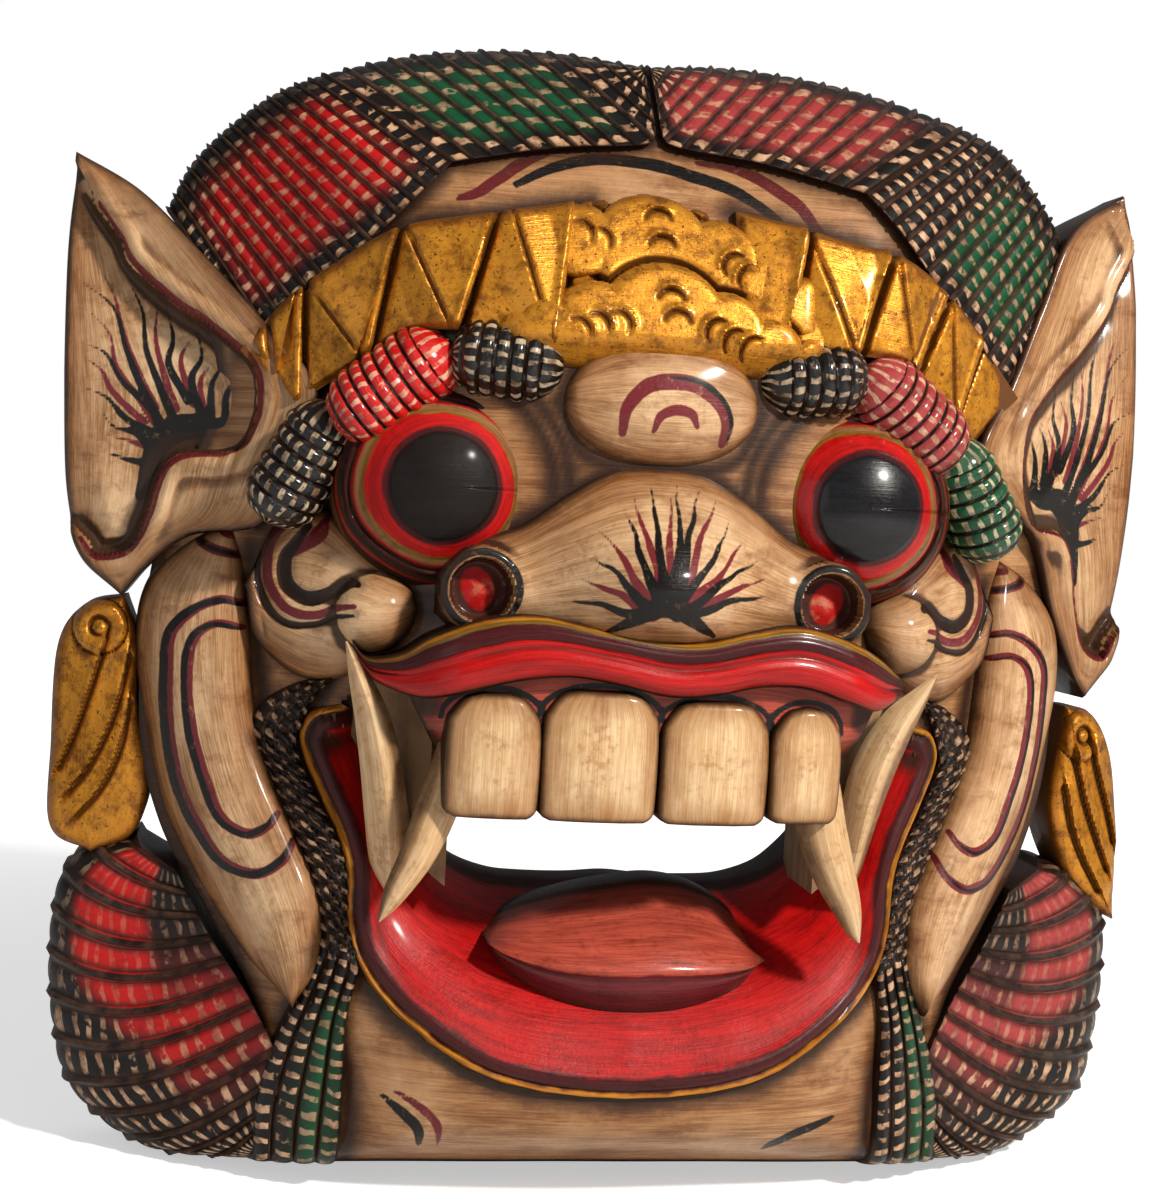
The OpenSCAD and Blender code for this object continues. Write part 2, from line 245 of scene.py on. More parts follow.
def newGrid(name, along, across):
    # a flat grid, and how far along and across it each of its points lies
    deselectAll()
    bpy.ops.mesh.primitive_grid_add(x_subdivisions=along, y_subdivisions=across, size=1)
    piece = bpy.context.object
    piece.name = name
    co = np.empty(len(piece.data.vertices) * 3)
    piece.data.vertices.foreach_get("co", co)
    s = co[0::3] + 0.5
    t = co[1::3] + 0.5
    return piece, s, t


def placePoints(piece, x, depth, z):
    co = np.stack([x, -depth, z], 1) * mm
    piece.data.vertices.foreach_set("co", co.ravel())
    piece.data.update()


def hollowness(depth, s, t, along, across, reach):
    # how far each point lies below its surroundings on the grid
    i = np.rint(s * along).astype(int)
    j = np.rint(t * across).astype(int)
    sheet = np.zeros((along + 1, across + 1))
    sheet[i, j] = depth
    smooth = sheet.copy()
    for axis, radius in ((0, reach[0]), (1, reach[1])):
        padded = np.pad(smooth, [(radius, radius) if k == axis else (0, 0) for k in (0, 1)], mode="edge")
        total = np.cumsum(np.insert(padded, 0, 0, axis=axis), axis=axis)
        span = 2 * radius + 1
        if axis == 0:
            smooth = (total[span:] - total[:-span]) / span
        else:
            smooth = (total[:, span:] - total[:, :-span]) / span
    return (smooth - sheet)[i, j]


def carve(name, sideA, sideB, along, across, depthAt, warp=None, reach=(6, 6)):
    # a front grid stretched between two edge curves and carved to its depth
    piece, s, t = newGrid(name, along, across)
    i = np.rint(s * along).astype(int)
    a = smoothLine(sideA, along + 1)[i]
    b = smoothLine(sideB, along + 1)[i]
    x = a[:, 0] * (1 - t) + b[:, 0] * t
    z = a[:, 1] * (1 - t) + b[:, 1] * t
    if warp:
        x, z = warp(x, z, s, t)
    j = np.rint(t * across).astype(int)
    edge = (i == 0) | (i == along) | (j == 0) | (j == across)
    rim, _ = nearest(x, z, np.stack([x[edge], z[edge]], 1))
    at = {"x": x, "z": z, "s": s, "t": t, "rim": rim}
    depth = depthAt(at)
    placePoints(piece, x, depth, z)
    long = np.linalg.norm(np.diff(smoothLine(sideA, 60), axis=0), axis=1).sum()
    wide = np.abs(a[:, :2] - b[:, :2]).max()
    setMap(piece, s * long * mm, t * wide * mm)
    # the rim distance and hollow depth set the brown wash and painted shade
    setNumbers(piece, rim=rim, hollow=hollowness(depth, s, t, along, across, reach))
    return piece, at


def closeBack(piece, back=None, shift=None):
    # the front is extruded straight back, to a flat plane or by an even thickness
    deselectAll()
    piece.select_set(True)
    bpy.context.view_layer.objects.active = piece
    bpy.ops.object.mode_set(mode="EDIT")
    bpy.ops.mesh.select_all(action="SELECT")
    if shift:
        bpy.ops.mesh.extrude_region_move(TRANSFORM_OT_translate={"value": (0, shift * mm, 0)})
    else:
        bpy.ops.mesh.extrude_region_move(TRANSFORM_OT_translate={"value": (0, 0.0001, 0)})
        bpy.ops.transform.resize(value=(1, 0, 1), center_override=(0, -back * mm, 0))
        bpy.ops.mesh.dissolve_limited(angle_limit=math.radians(1))
    bpy.ops.object.mode_set(mode="OBJECT")


def finishPiece(piece, finish, nodes=(), angle=50):
    deselectAll()
    piece.select_set(True)
    bpy.context.view_layer.objects.active = piece
    bpy.ops.object.mode_set(mode="EDIT")
    bpy.ops.mesh.select_all(action="SELECT")
    bpy.ops.mesh.remove_doubles(threshold=0.00008)
    bpy.ops.mesh.normals_make_consistent(inside=False)
    bpy.ops.object.mode_set(mode="OBJECT")
    bpy.ops.object.shade_smooth_by_angle(angle=math.radians(angle))
    piece.data.materials.clear()
    piece.data.materials.append(finish)
    for node in nodes:
        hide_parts(node)
    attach(piece, "mask")


def sweep(name, path, along, around, section):
    # a closed bar along a path of (x, z, depth, half width, half height); section scales each of its points
    piece, s, t = newGrid(name, along, around)
    line = smoothLine(path, along + 1)
    ahead = np.gradient(line[:, :3], axis=0)
    ahead /= np.linalg.norm(ahead, axis=1)[:, None]
    out = np.tile([0.0, 0.0, 1.0], (along + 1, 1))
    out -= ahead * (out * ahead).sum(1)[:, None]
    out /= np.linalg.norm(out, axis=1)[:, None]
    across = np.cross(out, ahead)
    i = np.rint(s * along).astype(int)
    turn = t * 2 * math.pi
    scale = section(s, turn)
    spot = (line[i, :3] + across[i] * (np.cos(turn) * line[i, 3] * scale)[:, None]
            + out[i] * (np.sin(turn) * line[i, 4] * scale)[:, None])
    placePoints(piece, spot[:, 0], spot[:, 2], spot[:, 1])
    long = np.linalg.norm(np.diff(line[:, :3], axis=0), axis=1).sum()
    setMap(piece, s * long * mm, t * 2 * math.pi * line[:, 3].max() * mm)
    at = {"x": spot[:, 0], "s": s, "t": t, "turn": turn, "scale": scale}
    return piece, at


def wire(tree, value, socket):
    # a socket is linked, a plain value is set
    if isinstance(value, bpy.types.NodeSocket):
        tree.links.new(value, socket)
    else:
        socket.default_value = value


def calc(tree, operation, a, b=0.0):
    node = tree.nodes.new("ShaderNodeMath")
    node.operation = operation
    wire(tree, a, node.inputs[0])
    wire(tree, b, node.inputs[1])
    return node.outputs[0]


def mixColor(tree, factor, a, b, mode="MIX"):
    node = tree.nodes.new("ShaderNodeMix")
    node.data_type = "RGBA"
    node.blend_type = mode
    wire(tree, factor, node.inputs[0])
    wire(tree, a, node.inputs[6])
    wire(tree, b, node.inputs[7])
    return node.outputs[2]


def fade(tree, value, low, high, start=0.0, end=1.0):
    node = tree.nodes.new("ShaderNodeMapRange")
    node.interpolation_type = "SMOOTHSTEP"
    for label, number in (("Value", value), ("From Min", low), ("From Max", high),
                          ("To Min", start), ("To Max", end)):
        wire(tree, number, node.inputs[label])
    return node.outputs["Result"]


def attribute(tree, name):
    node = tree.nodes.new("ShaderNodeAttribute")
    node.attribute_name = name
    return node.outputs["Fac"]


def grain(tree, vector, stretch, detail=3.0, rough=0.55, warp=0.0):
    # noise stretched by a different amount along each axis
    spread = tree.nodes.new("ShaderNodeMapping")
    spread.inputs["Scale"].default_value = stretch
    wire(tree, vector, spread.inputs["Vector"])
    node = tree.nodes.new("ShaderNodeTexNoise")
    node.inputs["Scale"].default_value = 1.0
    node.inputs["Detail"].default_value = detail
    node.inputs["Roughness"].default_value = rough
    node.inputs["Distortion"].default_value = warp
    wire(tree, spread.outputs["Vector"], node.inputs["Vector"])
    return node.outputs["Fac"]


def objectPlace(tree):
    return tree.nodes.new("ShaderNodeTexCoord").outputs["Object"]


def ownMap(tree):
    node = tree.nodes.new("ShaderNodeUVMap")
    node.uv_map = "UVMap"
    return node.outputs["UV"]


def rgb(red, green, blue):
    # a colour as seen, turned into scene light
    return tuple((c / 255 / 12.92) if c / 255 <= 0.04045 else ((c / 255 + 0.055) / 1.055) ** 2.4
                 for c in (red, green, blue)) + (1.0,)


def newGroup(name, plugs, results):
    tree = bpy.data.node_groups.new(name, "ShaderNodeTree")
    for label, kind in plugs.items():
        tree.interface.new_socket(label, in_out="INPUT", socket_type="NodeSocket" + kind)
    for label, kind in results.items():
        tree.interface.new_socket(label, in_out="OUTPUT", socket_type="NodeSocket" + kind)
    return tree, tree.nodes.new("NodeGroupInput").outputs, tree.nodes.new("NodeGroupOutput").inputs


def useGroup(tree, group, **plugs):
    node = tree.nodes.new("ShaderNodeGroup")
    node.node_tree = group
    for label, value in plugs.items():
        wire(tree, value, node.inputs[label])
    return node.outputs


tint = {"umber": rgb(40, 21, 11), "glaze": rgb(116, 70, 34), "cream": rgb(199, 161, 120),
        "creamLight": rgb(220, 187, 148), "creamDark": rgb(138, 96, 58), "black": rgb(12, 9, 8),
        "maroon": rgb(72, 20, 22), "inkRed": rgb(104, 30, 36), "red": rgb(180, 15, 14),
        "salmon": rgb(178, 76, 58), "gold": rgb(200, 134, 38), "goldDark": rgb(90, 52, 12),
        "olive": rgb(128, 98, 36), "green": rgb(10, 68, 40), "pink": rgb(150, 52, 52),
        "tooth": rgb(212, 184, 146), "dash": rgb(196, 158, 126), "dashLight": rgb(226, 202, 168),
        "pupil": rgb(20, 12, 9), "slate": rgb(24, 24, 28)}


def streakGroup():
    # dry brush marks that run along the map, as a mask from dark to light and a height
    tree, plug, out = newGroup("brushStreaks", {"Vector": "Vector"}, {"Streak": "Float", "Height": "Float"})
    broad = grain(tree, plug["Vector"], (22, 260, 1), 4.0, 0.6, 0.3)
    fine = grain(tree, plug["Vector"], (60, 1400, 1), 3.0, 0.7)
    both = calc(tree, "ADD", calc(tree, "MULTIPLY", broad, 0.5), calc(tree, "MULTIPLY", fine, 0.5))
    tree.links.new(fade(tree, both, 0.36, 0.64), out["Streak"])
    tree.links.new(fine, out["Height"])
    return tree


def washShadeGroup():
    # brown wash and painted shade: dark in recesses and along seams, and a thin glaze with painted shade
    # further out
    plugs = {"Rim": "Float", "Hollow": "Float", "Reach": "Float", "Vector": "Vector"}
    tree, plug, out = newGroup("washAndShade", plugs, {"Mask": "Float", "GlazeAndShade": "Float"})
    blotch = grain(tree, plug["Vector"], (70, 70, 70), 5.0, 0.62)
    speck = grain(tree, plug["Vector"], (420, 420, 420), 3.0, 0.6)
    uneven = calc(tree, "ADD", calc(tree, "MULTIPLY", blotch, 1.3), calc(tree, "MULTIPLY", speck, 0.5))
    reach = calc(tree, "MULTIPLY", plug["Reach"], uneven)
    near = calc(tree, "POWER", fade(tree, plug["Rim"], 0.0, reach, 1.0, 0.0), 1.4)
    low = fade(tree, calc(tree, "MULTIPLY", plug["Hollow"], uneven), 0.1, 0.7)
    tree.links.new(calc(tree, "MAXIMUM", near, calc(tree, "MULTIPLY", low, 0.9)), out["Mask"])
    wide = fade(tree, plug["Rim"], 0.0, calc(tree, "MULTIPLY", reach, 4.4), 0.9, 0.0)
    # painted shade in the hollows, with random soil on top
    shade = fade(tree, calc(tree, "MULTIPLY", plug["Hollow"], uneven), 0.0, 0.35, 0.0, 0.7)
    soilAndShade = fade(tree, calc(tree, "MULTIPLY", blotch, speck), 0.24, 0.4, 0.0, 0.55)
    tree.links.new(calc(tree, "MAXIMUM", calc(tree, "MAXIMUM", wide, shade), soilAndShade), out["GlazeAndShade"])
    return tree


def lineGroup():
    # a brush line from the distance to its edge, a little uneven and worn
    tree, plug, out = newGroup("paintLine", {"Gap": "Float", "Vector": "Vector"}, {"Mask": "Float"})
    wobble = calc(tree, "MULTIPLY", grain(tree, plug["Vector"], (160, 160, 160), 3.0), 0.9)
    edge = calc(tree, "ADD", plug["Gap"], calc(tree, "SUBTRACT", wobble, 0.45))
    body = fade(tree, edge, -0.25, 0.25, 1.0, 0.0)
    worn = fade(tree, grain(tree, plug["Vector"], (300, 300, 300), 4.0, 0.7), 0.3, 0.42, 0.7, 1.0)
    tree.links.new(calc(tree, "MULTIPLY", body, worn), out["Mask"])
    return tree


def checkGroup():
    # rows of hair: a cord at each whole number across, and short dashes along the band between
    plugs = {"Vector": "Vector", "Place": "Vector"}
    results = {"Cord": "Float", "Dash": "Float"}
    tree, plug, out = newGroup("cordChecks", plugs, results)
    split = tree.nodes.new("ShaderNodeSeparateXYZ")
    tree.links.new(plug["Vector"], split.inputs[0])
    row = calc(tree, "FLOOR", split.outputs["X"])
    across = calc(tree, "FRACT", split.outputs["X"])
    gap = calc(tree, "MINIMUM", across, calc(tree, "SUBTRACT", 1.0, across))
    chance = tree.nodes.new("ShaderNodeTexWhiteNoise")
    chance.noise_dimensions = "1D"
    tree.links.new(row, chance.inputs["W"])
    bend = calc(tree, "MULTIPLY", grain(tree, plug["Place"], (90, 90, 90), 2.0), 1.1)
    along = calc(tree, "ADD", calc(tree, "ADD", split.outputs["Y"], chance.outputs["Value"]), bend)
    beat = calc(tree, "ABSOLUTE", calc(tree, "SUBTRACT", calc(tree, "FRACT", along), 0.5))
    dash = fade(tree, beat, 0.15, 0.21, 1.0, 0.0)
    dash = calc(tree, "MULTIPLY", dash, fade(tree, gap, 0.15, 0.2))
    dash = calc(tree, "MULTIPLY", dash, fade(tree, grain(tree, plug["Place"], (260, 260, 260), 3.0), 0.36,
                                             0.5))
    tree.links.new(dash, out["Dash"])
    tree.links.new(fade(tree, gap, 0.09, 0.14, 1.0, 0.0), out["Cord"])
    return tree


def backGroup():
    # bare wood on faces that look straight back
    tree, plug, out = newGroup("bareBack", {"Vector": "Vector"}, {"Mask": "Float", "Color": "Color"})
    facing = tree.nodes.new("ShaderNodeTexCoord")
    split = tree.nodes.new("ShaderNodeSeparateXYZ")
    tree.links.new(facing.outputs["Normal"], split.inputs[0])
    tree.links.new(fade(tree, split.outputs["Y"], 0.8, 0.95), out["Mask"])
    ring = grain(tree, plug["Vector"], (190, 190, 9), 5.0, 0.6, 0.6)
    color = mixColor(tree, ring, rgb(112, 78, 48), rgb(176, 136, 92))
    tree.links.new(color, out["Color"])
    return tree


def varnishGroup():
    # varnish that lies thick in places, with fine dust and brush texture
    plugs = {"Vector": "Vector", "Low": "Float", "High": "Float"}
    tree, plug, out = newGroup("varnish", plugs, {"Roughness": "Float", "Height": "Float"})
    cloud = grain(tree, plug["Vector"], (45, 45, 45), 5.0, 0.6)
    dust = grain(tree, plug["Vector"], (700, 700, 700), 2.0, 0.6)
    mixed = calc(tree, "ADD", calc(tree, "MULTIPLY", cloud, 0.75), calc(tree, "MULTIPLY", dust, 0.25))
    rough = fade(tree, mixed, 0.3, 0.7, plug["Low"], plug["High"])
    tree.links.new(rough, out["Roughness"])
    tree.links.new(dust, out["Height"])
    return tree


group = {}


def makeGroups():
    group["streaks"] = streakGroup()
    group["wash"] = washShadeGroup()
    group["line"] = lineGroup()
    group["checks"] = checkGroup()
    group["back"] = backGroup()
    group["varnish"] = varnishGroup()


def paintedWood(name, colorOf, rough=(0.22, 0.5), coat=0.35, reach=3.5, brush=0.0006, metal=None,
                soilAndShade="umber",
                glaze=1.0):
    # paint over carved wood: its own colour, brown wash and painted shade in the recesses and along seams,
    # bare wood behind and a coat of varnish
    mat = bpy.data.materials.new(name)
    mat.use_nodes = True
    tree = mat.node_tree
    shader = tree.nodes["Principled BSDF"]
    place = objectPlace(tree)
    streaks = useGroup(tree, group["streaks"], Vector=ownMap(tree))
    wash = useGroup(tree, group["wash"], Rim=attribute(tree, "rim"), Hollow=attribute(tree, "hollow"),
                    Reach=reach, Vector=place)
    bare = useGroup(tree, group["back"], Vector=place)
    finish = useGroup(tree, group["varnish"], Vector=place, Low=rough[0], High=rough[1])
    color = colorOf(tree, place, streaks["Streak"])
    # a thin brown glaze and painted shade near edges and in hollows, then the darkest wash and painted shade
    # in recesses and seams
    thin = calc(tree, "MULTIPLY", wash["GlazeAndShade"], glaze)
    color = mixColor(tree, thin, color, mixColor(tree, 1.0, color, (0.52, 0.36, 0.24, 1), "MULTIPLY"))
    color = mixColor(tree, wash["Mask"], color, tint[soilAndShade])
    color = mixColor(tree, bare["Mask"], color, bare["Color"])
    tree.links.new(color, shader.inputs["Base Color"])
    dull = calc(tree, "MULTIPLY", wash["Mask"], 0.18)
    tree.links.new(calc(tree, "ADD", finish["Roughness"], dull), shader.inputs["Roughness"])
    shader.inputs["Specular IOR Level"].default_value = 0.16
    shader.inputs["Coat Weight"].default_value = coat
    shader.inputs["Coat Roughness"].default_value = 0.14
    if metal:
        shine = calc(tree, "MULTIPLY", calc(tree, "SUBTRACT", 1.0, wash["Mask"]), metal)
        tree.links.new(calc(tree, "MULTIPLY", shine, calc(tree, "SUBTRACT", 1.0, bare["Mask"])),
                       shader.inputs["Metallic"])
    height = calc(tree, "ADD", streaks["Height"], calc(tree, "MULTIPLY", finish["Height"], 0.5))
    relief = tree.nodes.new("ShaderNodeBump")
    relief.inputs["Strength"].default_value = 0.35
    relief.inputs["Distance"].default_value = brush
    tree.links.new(height, relief.inputs["Height"])
    tree.links.new(relief.outputs["Normal"], shader.inputs["Normal"])
    return mat


def skinColor(tree, place, streak):
    color = mixColor(tree, streak, tint["creamDark"], tint["cream"])
    patch = fade(tree, grain(tree, place, (28, 28, 28), 4.0), 0.45, 0.7, 0.0, 0.6)
    color = mixColor(tree, patch, color, tint["creamLight"])
    stain = fade(tree, grain(tree, place, (45, 45, 100), 6.0, 0.7), 0.5, 0.74, 0.0, 0.75)
    color = mixColor(tree, stain, color, tint["glaze"])
    blush = calc(tree, "MULTIPLY", attribute(tree, "blush"),
                 fade(tree, grain(tree, place, (200, 200, 200), 4.0), 0.3, 0.5, 0.55, 1.0))
    color = mixColor(tree, blush, color, tint["red"])
    red = useGroup(tree, group["line"], Gap=attribute(tree, "inkRed"), Vector=place)
    color = mixColor(tree, red["Mask"], color, tint["inkRed"])
    black = useGroup(tree, group["line"], Gap=attribute(tree, "inkBlack"), Vector=place)
    return mixColor(tree, black["Mask"], color, tint["black"])


def bandColor(stops):
    # paint in bands by the number called band; stops are (where it starts, colour)
    def colorOf(tree, place, streak):
        band = attribute(tree, "band")
        uneven = calc(tree, "SUBTRACT", grain(tree, place, (120, 120, 120), 3.0), 0.5)
        band = calc(tree, "ADD", band, calc(tree, "MULTIPLY", uneven, 0.05))
        color = tint[stops[0][1]]
        for start, shade in stops[1:]:
            color = mixColor(tree, fade(tree, band, start - 0.012, start + 0.012), color, tint[shade])
        dim = mixColor(tree, 1.0, color, (0.5, 0.42, 0.42, 1), "MULTIPLY")
        color = mixColor(tree, streak, dim, color)
        black = useGroup(tree, group["line"], Gap=attribute(tree, "inkBlack"), Vector=place)
        return mixColor(tree, black["Mask"], color, tint["black"])
    return colorOf


def hairColor(patchTint, dashTint, cordDark=rgb(26, 16, 13), cordLight=rgb(74, 50, 38)):
    def colorOf(tree, place, streak):
        checks = useGroup(tree, group["checks"], Vector=ownMap(tree), Place=place)
        worn = grain(tree, place, (150, 150, 150), 4.0, 0.65)
        patch = calc(tree, "MULTIPLY", attribute(tree, "patch"), fade(tree, worn, 0.3, 0.5, 0.7, 1.0))
        color = mixColor(tree, patch, tint["black"], tint[patchTint])
        dust = fade(tree, worn, 0.55, 0.85, 0.0, 0.25)
        color = mixColor(tree, dust, color, rgb(84, 62, 50))
        dash = calc(tree, "MULTIPLY", checks["Dash"], attribute(tree, "dash"))
        light = mixColor(tree, fade(tree, worn, 0.35, 0.6), rgb(128, 92, 68), tint[dashTint])
        light = mixColor(tree, calc(tree, "MULTIPLY", patch, 0.45), light, tint[patchTint])
        color = mixColor(tree, dash, color, light)
        cord = mixColor(tree, fade(tree, worn, 0.35, 0.7), cordDark, cordLight)
        return mixColor(tree, checks["Cord"], color, cord)
    return colorOf


def goldColor(tree, place, streak):
    color = mixColor(tree, calc(tree, "MULTIPLY", streak, 0.45), tint["gold"], rgb(158, 104, 28))
    rub = fade(tree, grain(tree, place, (160, 160, 160), 5.0, 0.7), 0.34, 0.55, 0.0, 1.0)
    color = mixColor(tree, rub, rgb(134, 84, 22), color)
    speck = fade(tree, grain(tree, place, (900, 900, 900), 2.0, 0.6), 0.3, 0.4, 0.0, 1.0)
    return mixColor(tree, speck, tint["goldDark"], color)


def toothColor(tree, place, streak):
    color = mixColor(tree, streak, rgb(182, 142, 96), tint["tooth"])
    stain = fade(tree, grain(tree, place, (70, 70, 40), 5.0, 0.65), 0.52, 0.76, 0.0, 0.55)
    return mixColor(tree, stain, color, tint["glaze"])


def rawWood():
    mat = bpy.data.materials.new("rawWood")
    mat.use_nodes = True
    tree = mat.node_tree
    place = objectPlace(tree)
    ring = grain(tree, place, (160, 160, 8), 6.0, 0.62, 0.8)
    tool = grain(tree, place, (60, 200, 60), 3.0)
    color = mixColor(tree, ring, rgb(88, 60, 38), rgb(160, 120, 80))
    color = mixColor(tree, fade(tree, tool, 0.4, 0.7, 0.0, 0.5), color, rgb(70, 46, 30))
    shader = tree.nodes["Principled BSDF"]
    tree.links.new(color, shader.inputs["Base Color"])
    shader.inputs["Roughness"].default_value = 0.78
    relief = tree.nodes.new("ShaderNodeBump")
    relief.inputs["Strength"].default_value = 0.5
    relief.inputs["Distance"].default_value = 0.001
    tree.links.new(calc(tree, "ADD", ring, tool), relief.inputs["Height"])
    tree.links.new(relief.outputs["Normal"], shader.inputs["Normal"])
    return mat


def steel():
    mat = bpy.data.materials.new("hangerSteel")
    mat.use_nodes = True
    tree = mat.node_tree
    place = objectPlace(tree)
    shader = tree.nodes["Principled BSDF"]
    scratch = grain(tree, place, (900, 900, 40), 4.0, 0.6)
    tree.links.new(mixColor(tree, scratch, rgb(120, 118, 112), rgb(186, 184, 178)),
                   shader.inputs["Base Color"])
    tree.links.new(fade(tree, scratch, 0.3, 0.7, 0.28, 0.5), shader.inputs["Roughness"])
    shader.inputs["Metallic"].default_value = 1.0
    return mat


paint = {}


def makePaint():
    paint["skin"] = paintedWood("skinPaint", skinColor, (0.28, 0.52), 0.25, 4.6, 0.0009)
    paint["lip"] = paintedWood("lipPaint", bandColor([(0, "black"), (0.05, "red"), (0.62, "maroon"),
                                                     (0.87, "olive"), (0.93, "gold")]), (0.25, 0.45), 0.25,
                               1.4,
                               0.0004, glaze=0.5)
    paint["jaw"] = paintedWood("jawPaint", bandColor([(0, "olive"), (0.02, "gold"), (0.055, "maroon"),
                                                     (0.15, "red")]), (0.3, 0.55), 0.12, 1.2, 0.0004,
                               glaze=1.0)
    paint["gum"] = paintedWood("gumPaint", bandColor([(0, "salmon")]), (0.25, 0.45), 0.3, 3.0)
    paint["tongue"] = paintedWood("tonguePaint", bandColor([(0, "inkRed"), (0.34, "salmon")]), (0.3, 0.55),
                                  0.2, 2.0)
    rings = [(0.48, "maroon"), (0.53, "red"), (0.65, "olive"), (0.68, "creamDark"), (0.73, "red"),
             (0.765, "maroon"), (0.82, "umber"), (0.85, "glaze"), (0.88, "red"), (0.9, "umber"),
             (0.94, "glaze")]
    paint["eyeLeft"] = paintedWood("eyeLeftPaint", bandColor([(0, "pupil")] + rings), (0.5, 0.7), 0.05, 1.0,
                                   0.0003)
    paint["eyeRight"] = paintedWood("eyeRightPaint", bandColor([(0, "slate")] + rings), (0.22, 0.4), 0.3, 1.0,
                                    0.0003)
    paint["tooth"] = paintedWood("toothPaint", toothColor, (0.28, 0.5), 0.25, 3.2, 0.0004)
    paint["gold"] = paintedWood("goldPaint", goldColor, (0.24, 0.48), 0.2, 1.5, 0.0006, 0.45, "goldDark",
                                glaze=0.9)
    for name, patch in (("hairRed", "red"), ("hairGreen", "green"), ("hairPink", "pink")):
        paint[name] = paintedWood(name + "Paint", hairColor(patch, "dash"), (0.25, 0.5), 0.2, 1.0, 0.0004,
                                  glaze=0.6)
    for name, patch in (("browBlack", "black"), ("browRed", "red"), ("browPink", "pink"),
                        ("browGreen", "green")):
        paint[name] = paintedWood(name + "Paint", hairColor(patch, "dashLight", tint["black"], tint["umber"]),
                                  (0.16, 0.34), 0.5, 1.0, 0.0004, glaze=0.5)
    paint["wood"] = rawWood()
    paint["steel"] = steel()


face = {"proud": 1.4, "thick": 1.0, "bottom": -196, "top": 186, "along": 190, "across": 210,
        "width": [(-196, 119), (-145, 120), (-113, 138), (-84, 156), (-50, 165), (0, 164), (30, 156),
                  (66, 143),
                  (104, 150), (140, 143), (170, 108), (187, 58)],
        "mouth": [(0, -157), (43, -151), (71, -134), (87, -116), (91, -96), (97, -76), (103, -58), (92, -30),
                  (60, -14), (0, -16)]}


def inside(x, z, outline):
    within = np.zeros(len(x), bool)
    for (ax, az), (bx, bz) in zip(outline, outline[1:] + outline[:1]):
        crosses = (az > z) != (bz > z)
        with np.errstate(divide="ignore", invalid="ignore"):
            within ^= crosses & (x < (bx - ax) * (z - az) / (bz - az) + ax)
    return within


def brush(points, width):
    # gives a painted stroke its width, thinner to both ends
    last = len(points) - 1
    return [(x, z, width * (1 - 0.5 * abs(2 * k / last - 1) ** 2.2)) for k, (x, z) in enumerate(points)]


faceStrokes = {
    "black": [brush([(-49, 138), (-39, 144), (-29, 148), (-18, 150), (-1, 149), (11, 146), (22, 143),
                     (30, 139),
                     (36, 135), (40, 132)], 4.8),
              brush([(-79, -163), (-72, -168), (-67, -173), (-66, -180)], 3.8),
              brush([(74, -169), (62, -173), (54, -178), (51, -181)], 3.8)],
    "red": [brush([(-68, 132), (-62, 134), (-53, 141), (-44, 148), (-36, 152), (-28, 154)], 4.2),
            brush([(13, 151), (23, 151), (32, 148), (40, 143), (47, 138), (52, 131), (57, 125)], 4.8),
            brush([(-75, -161), (-67, -165), (-61, -171), (-60, -179)], 3.0)]}


def inkSkin(piece, at, black=(), red=(), blush=None):
    x, z = at["x"], at["z"]
    setNumbers(piece, inkBlack=strokeGap(x, z, black), inkRed=strokeGap(x, z, red),
               blush=np.zeros(len(x)) if blush is None else blush)


def seamLines():
    # outlines of the blocks that meet the skin, where the brown wash and painted shade darken it
    half = [crownLow, crownHigh, hairNear["inner"], hairFar["inner"],
            [(70 + 36 * math.cos(a / 3), 38 + 36 * math.sin(a / 3)) for a in range(20)],
            [(70 + 41 * math.cos(a / 3), 38 + 41 * math.sin(a / 3)) for a in range(20)],
            [(70, 10), (44, 27), (29, 38), (15, 46), (0, 48)],
            [(34, 67), (24, 84), (0, 88)], [(34, 67), (24, 50), (0, 46)],
            [(131, 2), (118, 26), (106, 30), (88, 14)], [(131, 2), (114, -23), (88, -19)],
            [(130, 14), (121, -45), (101, -100), (112, -146)],
            [(100, -26), (111, -52), (111, -76), (100, -98), (95, -136), (89, -166), (90, -194)],
            [(111, -50), (100, -78), (90, -119), (74, -138), (44, -155), (0, -161)],
            [(129, 91), (118, 68), (118, 40), (127, 22)]]
    return half + [flipX(line, -1) for line in half]


